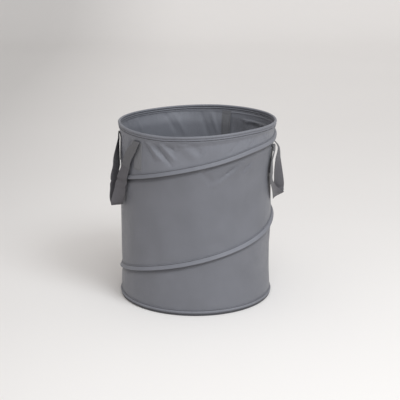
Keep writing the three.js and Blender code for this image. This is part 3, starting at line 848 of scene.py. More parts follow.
# The spiral's height as a share of its rise, by turns from its upper end.
SPIRAL_ROUTE = (
    (0.0, 1.0), (0.12, 0.997), (0.17, 0.992), (0.192, 0.9855), (0.207, 0.974), (0.225, 0.963),
    (0.296, 0.9468), (0.413, 0.884), (0.579, 0.776), (0.913, 0.5901), (1.06, 0.529), (1.14, 0.49),
    (1.185, 0.464), (1.212, 0.443), (1.246, 0.415), (1.371, 0.3267), (1.496, 0.2383),
    (1.621, 0.1535), (1.774, 0.0726), (2.0, 0.0),
)


@dataclass(frozen=True)
class Hamper:
    """The hamper's own sizes, its spiral's route, its wall's shape and the way the soft tube leans."""

    height: float = 533 * MM
    cloth: float = 0.8 * MM
    gap: float = 0.3 * MM
    rim_hem_foot: float = 515.5 * MM
    base_hem_top: float = 18 * MM
    rim_wire_radius: float = 231.38 * MM
    rim_wire_height: float = 529.43 * MM
    base_wire_radius: float = 226.75 * MM
    base_wire_height: float = 3.6 * MM
    base_wall_radius: float = 227.3 * MM
    wall_top: float = 526.3 * MM
    wall_foot: float = 6.75 * MM
    spiral_top: float = 497.5 * MM
    spiral_foot: float = 27.9 * MM
    fin: float = 12.4 * MM
    tube: float = 2.9 * MM
    bore: float = 2.1 * MM
    wall_draw_in: float = 7 * MM
    right_draw_share: float = 0.8
    front_draw_share: float = 1.35
    left_draw_share: float = 0.1
    left_heading: float = 165.0
    front_heading: float = -90.0
    upper_draw_in: float = 6.5 * MM
    crevice: float = 4.2 * MM
    coil_draw_in: float = 2 * MM
    seam: float = 52.5
    spiral_end: float = 12.0
    left_middle: float = -171.0
    left_fold_height: float = 497 * MM
    right_middle: float = -9.0
    right_fold_height: float = 467 * MM
    strap_spread: float = 19.5
    strap_reach: float = 84 * MM
    seam_flat: float = 17 * MM
    wave_count: int = 16
    pucker: float = 0.22 * MM
    sway_foot: float = 0.42
    sway_reach: float = 0.095
    lean_heading: float = -13.5
    lean_tilt: float = 1.4
    lean_sideways: float = 5.6 * MM
    lean_level: float = 0.9

    @property
    def per_degree(self) -> float:
        """The wall's length in a degree."""
        return math.radians(1) * self.base_wall_radius

    def wound(self, azimuth: np.ndarray) -> np.ndarray:
        """Winding angle, less than a turn, at an azimuth."""
        return np.mod(self.seam - np.asarray(azimuth, float), TURN)

    def spiral_height(self, wound: np.ndarray) -> np.ndarray:
        """Height of the spiral wire's middle at a winding angle."""
        share = monotone_curve(SPIRAL_ROUTE)(np.asarray(wound, float) / TURN)
        return self.spiral_foot + (self.spiral_top - self.spiral_foot) * share

    def runs(self, wound: np.ndarray) -> tuple[np.ndarray, np.ndarray]:
        """Heights of the spiral's upper and lower run at a winding angle."""
        return self.spiral_height(wound), self.spiral_height(wound + TURN)

    def straight_radius(self, height: np.ndarray) -> np.ndarray:
        """Wall radius if nothing drew it in."""
        up = (np.asarray(height, float) - self.base_hem_top) / (self.rim_hem_foot - self.base_hem_top)
        return self.base_wall_radius + (self.rim_wire_radius - self.base_wall_radius) * np.clip(up, 0, 1)

    def wall_radius(self, azimuth: np.ndarray, height: np.ndarray) -> np.ndarray:
        """Radius of the middle of the wall's cloth without its folds."""
        azimuth, height = np.broadcast_arrays(np.asarray(azimuth, float), np.asarray(height, float))
        return self.radius_at(self.wound(azimuth), height)

    def radius_at(self, wound: np.ndarray, height: np.ndarray) -> np.ndarray:
        """The same at a winding angle from 0 to 360.

        Args:
            wound: Winding angles.
            height: Heights.

        Returns:
            Radii.
        """
        wound, height = np.broadcast_arrays(wound, height)
        upper, lower = self.runs(wound)
        upper_radius, lower_radius = [
            self.straight_radius(run) - self.coil_draw_in for run in (upper, lower)
        ]
        spans = (
            (self.base_hem_top, self.base_wall_radius, lower, lower_radius),
            (lower, lower_radius, upper, upper_radius),
            (upper, upper_radius, self.rim_hem_foot, self.rim_wire_radius),
        )
        spacing = (self.spiral_top - self.spiral_foot) / 2
        share = self._draw_share(wound)
        out = np.where(height < self.rim_hem_foot, self.base_wall_radius, self.rim_wire_radius)
        for number, (low, low_radius, high, high_radius) in enumerate(spans):
            s = np.clip((height - low) / (high - low), 0, 1)
            drawn = self.wall_draw_in * ((high - low) / spacing) ** 2 * 4 * s * (1 - s) * share
            if number == len(spans) - 1:
                room = np.clip((high - low) / (80 * MM), 0, 1)
                drawn = drawn + self.upper_draw_in * room * s**1.4 * smoothstep((1 - s) * 5)
            inside = (height >= low) & (height <= high)
            out = np.where(inside, low_radius + (high_radius - low_radius) * s - drawn, out)
        pinch = self._below_runs(wound, height, (0.0, 3.4 * MM, 4.5 * MM, 13 * MM), self.crevice)
        return out - pinch * smoothstep((height - self.base_hem_top) / (8 * MM))

    def _draw_share(self, wound: np.ndarray) -> np.ndarray:
        """How much of its draw-in the wall shows: more in front and hardly any on the left.

        Args:
            wound: Winding angles.

        Returns:
            Shares.
        """
        leftness = smoothstep((70 - np.abs(turned(self.seam - wound - self.left_heading))) / 45)
        frontness = smoothstep((62 - np.abs(turned(self.seam - wound - self.front_heading))) / 36)
        share = self.right_draw_share + (self.front_draw_share - self.right_draw_share) * frontness
        return share + (self.left_draw_share - share) * leftness

    def _below_runs(
        self,
        wound: np.ndarray,
        height: np.ndarray,
        band: tuple[float, float, float, float],
        size: float,
    ) -> np.ndarray:
        """How far places lie in a band under the channel's two runs.

        Args:
            wound: Winding angles from 0 to 360.
            height: Heights.
            band: Where the band starts below the wire, the length over which it grows, where it stops
                and the length over which it fades.
            size: What it grows to.

        Returns:
            Values from 0 to the size, and 0 beyond the channel's ends.
        """
        start, grows, stop, fades = band
        from_end = (wound - self.spiral_end, TURN - self.spiral_end - wound)
        out = np.zeros_like(height)
        for run, inside in zip(self.runs(wound), from_end):
            below = run - height
            near = smoothstep((below - start) / grows) * (1 - smoothstep((below - stop) / fades))
            out = out + size * near * smoothstep(inside / 8)
        return out

    def painted_shade_under_channel(self, wound: np.ndarray, height: np.ndarray) -> np.ndarray:
        """How much painted shade places get in the crease under a run of the channel, from 0 to 1."""
        crease = self._below_runs(wound, height, (-1 * MM, 2 * MM, 3.6 * MM, 4.2 * MM), 1.0)
        return np.clip(crease, 0, 1)

    def slack(self, wound: np.ndarray, height: np.ndarray, reach: float) -> np.ndarray:
        """How free the cloth is.

        Args:
            wound: Winding angles.
            height: Heights.
            reach: The distance over which it comes free.

        Returns:
            Shares: 0 at the hems and the channel, and 1 at that distance from them.
        """
        free = smoothstep((self.rim_hem_foot - 1 * MM - height) / reach)
        free = free * smoothstep((height - self.base_hem_top - 1 * MM) / reach)
        for run in self.runs(wound):
            above = smoothstep((height - run - self.fin - 1 * MM) / reach)
            below = smoothstep((run - self.tube - 1 * MM - height) / reach)
            free = free * np.maximum(above, below)
        return free

    def relief(self, azimuth: np.ndarray, height: np.ndarray) -> np.ndarray:
        """How far folds, puckers and waves push the cloth outwards.

        Args:
            azimuth: Places round the hamper.
            height: Heights.

        Returns:
            Distances, negative inwards.
        """
        azimuth, height = np.broadcast_arrays(np.asarray(azimuth, float), np.asarray(height, float))
        wound = self.wound(azimuth)
        folds = np.zeros_like(height)
        for one in WALL_FOLDS:
            folds += one.push(azimuth, height, self.per_degree)
        draw = np.random.default_rng(7)
        waves = np.zeros_like(height)
        for _ in range(self.wave_count):
            round_count = draw.integers(3, 15)
            upright = draw.uniform(-16, 16)
            phase = draw.uniform(0, 2 * math.pi)
            size = draw.uniform(0.15, 0.5) * MM
            waves += size * np.sin(np.radians(azimuth) * round_count + height * upright + phase)
        pucker = np.zeros_like(height)
        for count in (83, 97, 118):
            phase = draw.uniform(0, 2 * math.pi)
            pucker += self.pucker * np.sin(np.radians(azimuth) * count + phase + height * 40)
        near = np.exp(-np.clip(self.rim_hem_foot - height, 0, None) / (16 * MM))
        near = near + 0.7 * np.exp(-np.clip(height - self.base_hem_top, 0, None) / (10 * MM))
        for run in self.runs(wound):
            near = near + np.exp(-np.abs(height - run - self.fin / 3) / (12 * MM))
        off_seam = np.minimum(wound, TURN - wound) * self.per_degree
        out = folds * self.slack(wound, height, 7 * MM) + waves * self.slack(wound, height, 30 * MM)
        out = out + pucker * near * self.slack(wound, height, 4 * MM)
        return out * self._off_straps(azimuth, height) * smoothstep((off_seam - self.seam_flat) / (12 * MM))

    def _off_straps(self, azimuth: np.ndarray, height: np.ndarray) -> np.ndarray:
        """Keeps the cloth smooth under the sewn strap ends.

        Args:
            azimuth: Places round the hamper.
            height: Heights.

        Returns:
            Shares: 0 under a sewn end and 1 away from it.
        """
        keep = np.ones_like(height)
        left = (self.left_middle, self.left_fold_height)
        right = (self.right_middle, self.right_fold_height)
        for middle, fold_height in (left, right):
            under = smoothstep((fold_height - self.strap_reach - height) / (14 * MM))
            over = smoothstep((height - fold_height - 6 * MM) / (10 * MM))
            for way in (-1, 1):
                off = np.abs(turned(azimuth - middle - way * self.strap_spread))
                keep = keep * np.maximum(smoothstep((off - 4.9) / 2.2), np.maximum(under, over))
        return keep

    def wall_middle(self, azimuth: np.ndarray, height: np.ndarray) -> np.ndarray:
        """Radius of the middle of the wall's cloth with its folds."""
        return self.wall_radius(azimuth, height) + self.relief(azimuth, height)

    def _sideways(self, height: np.ndarray) -> np.ndarray:
        """How far the lean moves a level sideways."""
        return self.lean_sideways * (np.asarray(height, float) / self.height - self.lean_level)

    def lean(self, points: np.ndarray) -> np.ndarray:
        """Moves upright points to where the leaning soft tube has them.

        Args:
            points: Points of the upright tube.

        Returns:
            The moved points.
        """
        angle = math.radians(self.lean_heading)
        heading = np.array([math.cos(angle), math.sin(angle)])
        out = np.array(points, float)
        reach = out[..., :2] @ heading
        share = out[..., 2] / self.height
        azimuth = np.degrees(np.arctan2(out[..., 1], out[..., 0]))
        level, rise = np.array(RIM_SWAY).T
        near_rim = smoothstep((points[..., 2] - self.sway_foot) / self.sway_reach)
        out[..., 2] += np.interp(azimuth, level, rise) * MM * near_rim
        out[..., :2] += self._sideways(points[..., 2])[..., None] * heading
        out[..., 2] += reach * math.sin(math.radians(self.lean_tilt)) * share
        return out

    def rise_at(self, azimuth: np.ndarray, height: np.ndarray) -> np.ndarray:
        """How far the lean lifts the wall there."""
        reach = self.rim_wire_radius * np.cos(np.radians(azimuth - self.lean_heading))
        return reach * math.sin(math.radians(self.lean_tilt)) * height / self.height

    def leaned_face(self, azimuth: np.ndarray, height: np.ndarray) -> np.ndarray:
        """Radius of the leaning wall's outer face at a place that doesn't lean itself.

        Args:
            azimuth: Places round the hamper.
            height: Heights.

        Returns:
            Radii.
        """
        azimuth, height = np.broadcast_arrays(np.asarray(azimuth, float), np.asarray(height, float))
        level = height - self.rise_at(azimuth, height)
        aside = self._sideways(height) * np.cos(np.radians(azimuth - self.lean_heading))
        return self.wall_middle(azimuth, level) + self.cloth / 2 + aside


@dataclass
class Collapse:
    """The shares of height that the soft tube's pieces would keep when they fold down with the rim; crush
    doesn't fold them.
    """

    floor: float = 16 * MM
    keep_wall: float = 0.0525
    keep_channel: float = 0.05
    keep_strap: float = 0.18
    keep_loop: float = 0.15

    def crush(self, piece: bpy.types.Object, keep: float, level: float | None = None) -> None:
        """Gives a piece its own copy of its mesh, without crumpling it."""
        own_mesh(piece)


@dataclass
class SubAssembly:
    """What the hamper's sub-assemblies share."""

    hamper: Hamper
    finishes: Finishes
    collapse: Collapse

    def put(
        self,
        skin: Skin,
        name: str,
        finish: str,
        body: Body,
        slot: Slot,
        replaces: Sequence[str] = (),
        keep: float | None = None,
        level: float | None = None,
    ) -> bpy.types.Object:
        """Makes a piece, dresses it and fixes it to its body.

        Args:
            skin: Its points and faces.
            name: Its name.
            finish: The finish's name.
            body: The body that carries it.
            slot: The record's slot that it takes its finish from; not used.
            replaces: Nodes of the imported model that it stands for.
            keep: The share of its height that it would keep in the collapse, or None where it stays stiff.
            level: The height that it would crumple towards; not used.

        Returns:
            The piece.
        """
        piece = skin.make(name)
        self.finishes.put(piece, finish)
        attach(piece, body.value)
        if replaces:
            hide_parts(*replaces)
        if keep is not None:
            self.collapse.crush(piece, keep, level)
        LOG.info("%s: %d faces on %s", name, len(piece.data.polygons), body.value)
        return piece


# A hem's visible face from the leg's edge up: distance from the wire and relief, in millimetres.
RIM_LEG_ROWS = (
    (13.93, -0.4), (13.88, -0.15), (13.4, 0.0), (12.6, 0.02), (11.6, 0.0), (11.0, -0.2),
    (10.4, -0.8), (9.95, -0.98), (9.5, -0.8), (8.9, 0.05), (8.1, 0.7), (7.0, 1.15), (5.9, 1.05),
    (5.2, 0.5), (4.6, -0.1), (4.15, -0.2),
)
BASE_LEG_ROWS = (
    (14.4, -0.4), (14.35, -0.15), (13.9, 0.0), (13.3, 0.0), (12.6, -0.1), (12.1, -0.55),
    (11.7, -0.72), (11.3, -0.5), (10.7, 0.35), (9.8, 1.15), (8.6, 1.9), (7.2, 2.45), (5.9, 2.4),
    (4.9, 1.65), (4.3, 0.55), (3.9, 0.0),
)


@dataclass
class RingHem(SubAssembly):
    """A folded tape round a ring wire, with its wire, the wire's sleeve and its stitches."""

    name: str
    body: Body
    node: str
    wire_radius: float
    wire_height: float
    way: int
    bead: float
    bead_out: float
    leg_rows: Table
    slot_half: float
    outer_leg: float
    inner_leg: float
    seed: int
    tucks: Table = ()
    # How many steps of the bead's section, from the leg on, get full painted shade.
    painted_shade_steps: int = 0
    wire: float = 1.75 * MM
    sleeve: float = 2.55 * MM
    sleeve_length: float = 24 * MM
    pocket: float = 2.85 * MM
    tape: float = 1.0 * MM
    columns: int = 576
    bead_steps: int = 26
    thread: float = 0.46 * MM
    stitch_share: float = 0.76

    def build(self) -> None:
        """Builds and dresses the hem's pieces."""
        tape = Skin()
        tape.loft(self.hamper.lean(self._tape_rings()), closed=True, painted_shade=self._painted_groove_shade())
        self.put(tape, f"{self.name}_hem_tape", "binding", self.body, Slot.BINDING, [self.node])
        stitches = Skin()
        for side in (1, -1):
            self._stitch(stitches, side)
        self.put(stitches, f"{self.name}_stitches", "thread", self.body, Slot.BINDING)
        self._ring()
        self._sleeve()

    def _ring(self) -> None:
        """The ring wire, whose ends meet at the back seam."""
        hamper = self.hamper
        slit = math.degrees(hamper.gap / self.wire_radius)
        azimuth = np.linspace(hamper.seam + slit, hamper.seam + TURN - slit, self.columns // 2)
        ring = Skin()
        ring.loft(hamper.lean(self._round(azimuth, self.wire)), halves=False)
        node = f"{self.name}_ring_wire"
        self.put(ring, f"{self.name}_ring_steel", "steel", self.body, Slot.STEEL, [node])

    def _sleeve(self) -> None:
        """The crimped sleeve over the wire's ends."""
        steps = np.linspace(-1, 1, 25)
        azimuth = self.hamper.seam + math.degrees(self.sleeve_length / 2 / self.wire_radius) * steps
        pinch = 1 - 0.1 * np.exp(-(((np.abs(steps) - 0.5) / 0.14) ** 2))
        outside = self._round(azimuth, self.sleeve * pinch[:, None])
        inside = self._round(azimuth, self.wire + self.hamper.gap / 3)[::-1]
        sleeve = Skin()
        sleeve.loft(self.hamper.lean(np.concatenate([outside, inside])), closed=True)
        node = f"{self.name}_ring_ferrule"
        self.put(sleeve, f"{self.name}_ring_sleeve", "crimp", self.body, Slot.CRIMP, [node])

    def _round(self, azimuth: np.ndarray, radius: float | np.ndarray) -> np.ndarray:
        """Round sections about the wire's line.

        Args:
            azimuth: Where the sections stand.
            radius: Their radius.

        Returns:
            The sections' points.
        """
        angle = np.linspace(0, 2 * math.pi, WIRE_SIDES, endpoint=False)
        ones = np.ones((len(azimuth), 1))
        out = self.wire_radius + radius * np.cos(angle)
        up = self.wire_height + radius * np.sin(angle)
        return polar(azimuth[:, None], out * ones, up * ones)

    def _profile(self) -> tuple[np.ndarray, np.ndarray]:
        """Outer and inner half of the tape's section.

        Returns:
            Points [out, along the legs from the wire] of the visible face, from the outer leg's edge
            round the wire to the inner leg's edge, and of the face in the pocket.
        """
        face = self.slot_half + self.tape
        leg = [(face + out * MM, -down * MM) for down, out in self.leg_rows]
        start = -math.degrees(math.acos(min(1.0, (face + 0.1 * MM) / self.bead_out))) + 4
        over = arc(1.0, start, 180 - start, self.bead_steps) * np.array([self.bead_out, self.bead])
        shorten = self.inner_leg / self.outer_leg
        inner = [(-x, y * shorten if y < -self.bead - 2 * MM else y) for x, y in leg[::-1]]
        outside = np.concatenate([np.array(leg), over, np.array(inner)])
        pocket_start = -math.degrees(math.acos(self.slot_half / self.pocket))
        count = len(leg)
        down = np.linspace(0.2 * MM - self.outer_leg, -self.pocket - 0.6 * MM, count)
        slot_side = np.stack([np.full(count, self.slot_half), down], axis=1)
        round_pocket = arc(self.pocket, pocket_start, 180 - pocket_start, self.bead_steps)
        other = slot_side[::-1] * np.array([-1, 1])
        other[:, 1] = np.linspace(-self.pocket - 0.6 * MM, -self.inner_leg + 0.2 * MM, count)
        inside = np.concatenate([slot_side, round_pocket, other])
        return outside, inside

    def _painted_groove_shade(self) -> np.ndarray:
        """How much painted shade each point of the tape's section gets, in its grooves and on its bead.

        Returns:
            Shares from 0 to 1.
        """
        outside, inside = self._profile()
        rows = np.array(self.leg_rows)
        # Painted shade: full in the grooves where the relief dips in, and on the bead's first steps, under
        # the base bead.
        deep = np.zeros(len(outside))
        deep[: len(rows)] = np.clip(-rows[:, 1] / 0.7, 0, 1) * (rows[:, 0] < rows[0, 0] - 0.2)
        deep[len(rows) : len(rows) + self.painted_shade_steps] = 1.0
        return np.concatenate([deep, 0 * inside[:, 0]])

    def _unevenness(self, azimuth: np.ndarray, drop: np.ndarray) -> np.ndarray:
        """How the sewn band puffs and puckers.

        Args:
            azimuth: Places round the ring.
            drop: Ways down the leg.

        Returns:
            Distances outwards.
        """
        draw = np.random.default_rng(self.seed)
        out = np.zeros(np.broadcast_shapes(azimuth.shape, drop.shape))
        for count in (31, 53, 88, 127, 171):
            phase = draw.uniform(0, 2 * math.pi)
            size = draw.uniform(0.06, 0.16) * MM
            out = out + size * np.sin(np.radians(azimuth) * count + phase + drop / MM * 0.35)
        band = smoothstep((drop - self.bead) / (2.5 * MM))
        band = band * smoothstep((self.outer_leg - 1 * MM - drop) / (2 * MM))
        out = out * (0.15 + band)
        for middle, size, width in self.tucks:
            slant = middle + (drop - 8 * MM) / MM * 0.35
            out = out + size * MM * band * np.exp(-(((azimuth - slant) / width) ** 2))
        return out

    def _tape_rings(self) -> np.ndarray:
        """The tape's section at every column.

        Returns:
            The sections' points.
        """
        azimuth = np.linspace(-180, 180, self.columns, endpoint=False)[:, None]
        outside, inside = self._profile()
        rings = []
        for points, loose in ((outside, True), (inside[::-1], False)):
            out, up = points[:, 0], points[:, 1]
            push = self._unevenness(azimuth, -up) * np.sign(out) if loose else 0.0
            radius = self.wire_radius + out + push
            rings.append(polar(azimuth, radius, self.wire_height + self.way * up))
        return np.concatenate(rings, axis=1)

    def _stitch(self, skin: Skin, side: int) -> None:
        """Sews along the groove of one leg.

        Args:
            skin: What takes the stitches.
            side: 1 for the outer leg and -1 for the inner one.
        """
        leg = self.outer_leg if side > 0 else self.inner_leg
        groove_out, groove_drop = min((out, down) for down, out in self.leg_rows[4:11])
        drop = groove_drop * MM * leg / self.outer_leg
        azimuth = np.linspace(-180, 180, 1440, endpoint=False)
        out = self.slot_half + self.tape + (groove_out + 0.12) * MM
        push = self._unevenness(azimuth, np.full_like(azimuth, drop))
        path = polar(azimuth, self.wire_radius + side * (out + push), self.wire_height - self.way * drop)
        length = self.stitch_share * STITCH_PITCH
        skin.sew(self.hamper.lean(path), self.thread, side, length, closed=True)


class Field(str, Enum):
    """The wall's three fields, from the foot up."""

    LOWER = "lower"
    MIDDLE = "middle"
    UPPER = "upper"


@dataclass
class Wall(SubAssembly):
    """The cloth tube in three fields, the rim hem's facing, the back seam and the tape inside it."""

    columns: int = 480
    rows: int = 44
    close_rows: tuple[float, ...] = (0, 0.9, 1.8, 2.8, 3.8, 5, 6.4, 8, 9.8, 12, 14.5, 17.5)
    close_reach: float = 21.0
    seam_gap: float = 0.02 * MM
    seam_pinch: float = 0.5 * MM
    tape_width: float = 30 * MM
    tape_foot: float = 15.7 * MM
    tape_seams: float = 0.74
    facing_lap: float = 0.8 * MM
    facing_thick: float = 0.5 * MM
    thread: float = 0.34 * MM

    def build(self) -> None:
        """Builds and dresses the wall."""
        for part in Field:
            skin = Skin()
            rings, deep, area = self._panel(part)
            skin.loft(rings, painted_shade=deep)
            upper = part is Field.UPPER
            name, node = f"wall_{part.value}_cloth", f"wall_{part.value}_panel"
            # The upper field takes the lighter copy of the cloth, painted light.
            finish = "upper" if upper else "cloth"
            piece = self.put(skin, name, finish, Body.BASE, Slot.CLOTH, [node])
            self.collapse.crush(piece, self.collapse.keep_wall)
        self._facing()
        self._tape()

    def _edges(self, part: Field, wound: np.ndarray) -> tuple[np.ndarray, np.ndarray]:
        """A field's lower and upper edge.

        Args:
            part: The field.
            wound: Winding angles.

        Returns:
            The heights of both edges.
        """
        upper, lower = self.hamper.runs(wound)
        if part is Field.LOWER:
            return np.full_like(wound, self.hamper.wall_foot), lower - self.seam_gap
        if part is Field.MIDDLE:
            return lower + self.seam_gap, upper - self.seam_gap
        return upper + self.seam_gap, np.full_like(wound, self.hamper.wall_top)

    def _facing(self) -> None:
        """The narrow facing inside the wall that hangs from the rim hem and goes down with it.

        It is as deep as the lean lifts the hem, so it meets the flat bundle's top all the way round.
        """
        hamper = self.hamper
        azimuth = hamper.seam - np.linspace(0, TURN, self.columns, endpoint=False)[:, None]
        hem_foot = hamper.lean(polar(azimuth, hamper.rim_wire_radius, hamper.rim_hem_foot))[..., 2]
        depth = np.clip(hem_foot - hamper.rim_hem_foot, 0, None) + self.facing_lap
        height = hamper.rim_hem_foot + 0.1 * MM - depth * np.linspace(0, 1, 13)[None, :]
        face = hamper.wall_middle(azimuth, height) - hamper.cloth / 2 - hamper.gap
        sides = [polar(azimuth, face - self.facing_thick, height), polar(azimuth, face, height)[:, ::-1]]
        skin = Skin()
        skin.loft(hamper.lean(np.concatenate(sides, axis=1)), closed=True)
        self.put(skin, "rim_hem_facing", "binding", Body.RIM, Slot.BINDING)

    def _panel(self, part: Field) -> tuple[np.ndarray, np.ndarray, float]:
        """One field of the wall.

        Args:
            part: The field.

        Returns:
            The rings, how much painted shade their points get in the crease under the channel, and the
            area that the field was cut to.
        """
        hamper = self.hamper
        slit = math.degrees(self.seam_gap / hamper.base_wall_radius)
        wound = np.linspace(slit, TURN - slit, self.columns)
        foot, top = [edge[:, None] for edge in self._edges(part, wound)]
        close = np.array(self.close_rows)[None, :] * MM * np.clip((top - foot) / (60 * MM), 0, 1)
        edge = self.close_reach * close[:, -1:] / self.close_rows[-1]
        first, last = foot + edge, top - edge
        rise = np.linspace(0, 1, self.rows)[None, :]
        middle_rows = first + (last - first) * rise
        height = np.concatenate([foot + close, middle_rows, (top - close)[:, ::-1]], axis=1)
        azimuth = np.broadcast_to((hamper.seam - wound)[:, None], height.shape)
        turns = np.broadcast_to(wound[:, None], height.shape)
        middle = hamper.radius_at(turns, height) + hamper.relief(azimuth, height)
        off_seam = np.minimum(turns, TURN - turns) * math.radians(1) * hamper.base_wall_radius
        middle = middle - self.seam_pinch * np.exp(-((off_seam / (2.5 * MM)) ** 2))
        faces = [polar(azimuth, middle + side * hamper.cloth / 2, height) for side in (1, -1)]
        area = float(np.mean(top - foot)) * 2 * math.pi * hamper.base_wall_radius
        # Painted shade in the crease under the channel, on the outer face only.
        deep = np.concatenate([hamper.painted_shade_under_channel(turns, height), 0 * height], axis=1)
        return hamper.lean(np.concatenate([faces[0], faces[1][:, ::-1]], axis=1)), deep, area

    def _tape(self) -> None:
        """The tape inside the back seam, and the seam's stitches."""
        hamper, keep = self.hamper, self.collapse.keep_wall
        height = np.linspace(self.tape_foot, hamper.rim_hem_foot - hamper.gap, 120)[:, None]
        half = math.degrees(self.tape_width / 2 / hamper.base_wall_radius)
        across = np.linspace(-1, 1, 15)[None, :]
        azimuth = hamper.seam + half * across
        sides = [hamper.radius_at(np.full_like(height, turn), height) for turn in (0.2, TURN - 0.2)]
        swell = -0.25 * MM * np.exp(-(((np.abs(across) - self.tape_seams) / 0.07) ** 2))
        outer = np.minimum(*sides) - hamper.cloth / 2 - hamper.gap - 0.5 * MM + 0 * azimuth
        inner = outer - hamper.cloth - swell
        rings = [polar(azimuth, outer, height), polar(azimuth[:, ::-1], inner[:, ::-1], height)]
        skin = Skin()
        skin.loft(hamper.lean(np.concatenate(rings, axis=1)))
        self.put(skin, "back_seam_ribbon", "tape", Body.BASE, Slot.TAPE, ["back_seam_tape"], keep)
        stitches = Skin()
        line, inner_face = height[4:-4, 0], inner[4:-4, 0] - 0.1 * MM
        for place in (-self.tape_seams, self.tape_seams):
            where = hamper.seam + half * place
            stitches.sew(hamper.lean(polar(where, inner_face, line)), self.thread, side=-1)
            outside = polar(where, hamper.wall_middle(where, line) + hamper.cloth / 2 + 0.12 * MM, line)
            stitches.sew(hamper.lean(outside[self._clear_of_channel(where, line)]), self.thread)
        self.put(stitches, "back_seam_stitches", "thread", Body.BASE, Slot.TAPE, keep=keep)

    def _clear_of_channel(self, azimuth: float, height: np.ndarray) -> np.ndarray:
        """Which heights aren't covered by a run of the channel.

        Args:
            azimuth: The place round the hamper.
            height: Heights.

        Returns:
            True where the wall is bare.
        """
        clear = np.ones(len(height), bool)
        for run in self.hamper.runs(self.hamper.wound(azimuth)):
            clear &= (height < run - 4 * MM) | (height > run + self.hamper.fin + 1 * MM)
        return clear


@dataclass
class Floor(SubAssembly):
    """The cloth disc that closes the base."""

    level: float = 14.5 * MM
    edge: float = 226.2 * MM
    columns: int = 240
    rings: int = 46

    def build(self) -> None:
        """Builds and dresses the base cloth."""
        azimuth = np.linspace(0, TURN, self.columns, endpoint=False)[:, None]
        thick, level, foot = self.hamper.cloth, self.level, self.hamper.wall_foot
        outer, inner = self.edge + thick / 2, self.edge - thick / 2
        out = np.linspace(1 * MM, inner - 1.2 * MM, self.rings)
        under = self._level(azimuth, out[None, :])
        rim = np.array(
            [
                (outer - 0.5 * MM, level + thick - 0.1 * MM),
                (outer, level + thick - 0.6 * MM),
                (outer, 11 * MM),
                (outer, foot),
                (inner, foot),
                (inner, 11 * MM),
                (inner, level - 1.2 * MM),
                (inner - 0.5 * MM, level - 0.2 * MM),
            ]
        )
        ones = np.ones_like(azimuth)
        radius = np.concatenate([ones * out, ones * rim[:, 0], ones * out[::-1]], axis=1)
        height = np.concatenate([under + thick, ones * rim[:, 1], under[:, ::-1]], axis=1)
        skin = Skin()
        skin.loft(self.hamper.lean(polar(azimuth, radius, height)), closed=True)
        piece = self.put(skin, "base_cloth", "cloth", Body.BASE, Slot.CLOTH, ["base_panel"])

    def _level(self, azimuth: np.ndarray, radius: np.ndarray) -> np.ndarray:
        """Height of the disc's lower face, with its soft waves and the pull of its edge seam.

        Args:
            azimuth: Places round the disc.
            radius: Distances from its middle.

        Returns:
            Heights.
        """
        x = radius * np.cos(np.radians(azimuth))
        y = radius * np.sin(np.radians(azimuth))
        free = smoothstep((self.edge - 4 * MM - radius) / (60 * MM))
        wave = 0.9 * np.sin(x * 21 + y * 9 + 0.6) + 0.7 * np.sin(y * 26 - x * 7 + 2.1)
        wave = wave + 0.5 * np.sin(x * 43 - y * 31 + 4.0)
        pull = 0.35 * np.sin(np.radians(azimuth) * 64) * np.exp(-((self.edge - radius) / (14 * MM)))
        off_edge = smoothstep((self.edge - radius) / (4 * MM))
        return self.level + wave * free * MM * 0.8 + pull * MM * off_edge


# The channel's visible face above its tube: out from the wall and up from the wire, in millimetres.
FIN_ROWS = (
    (5.05, 2.7), (4.55, 3.9), (3.95, 5.1), (3.3, 6.3), (2.65, 7.3), (2.05, 8.2), (1.55, 8.9),
    (1.2, 9.5), (1.08, 10.0), (1.2, 10.5), (1.6, 11.1), (1.72, 11.7), (1.6, 12.35),
)


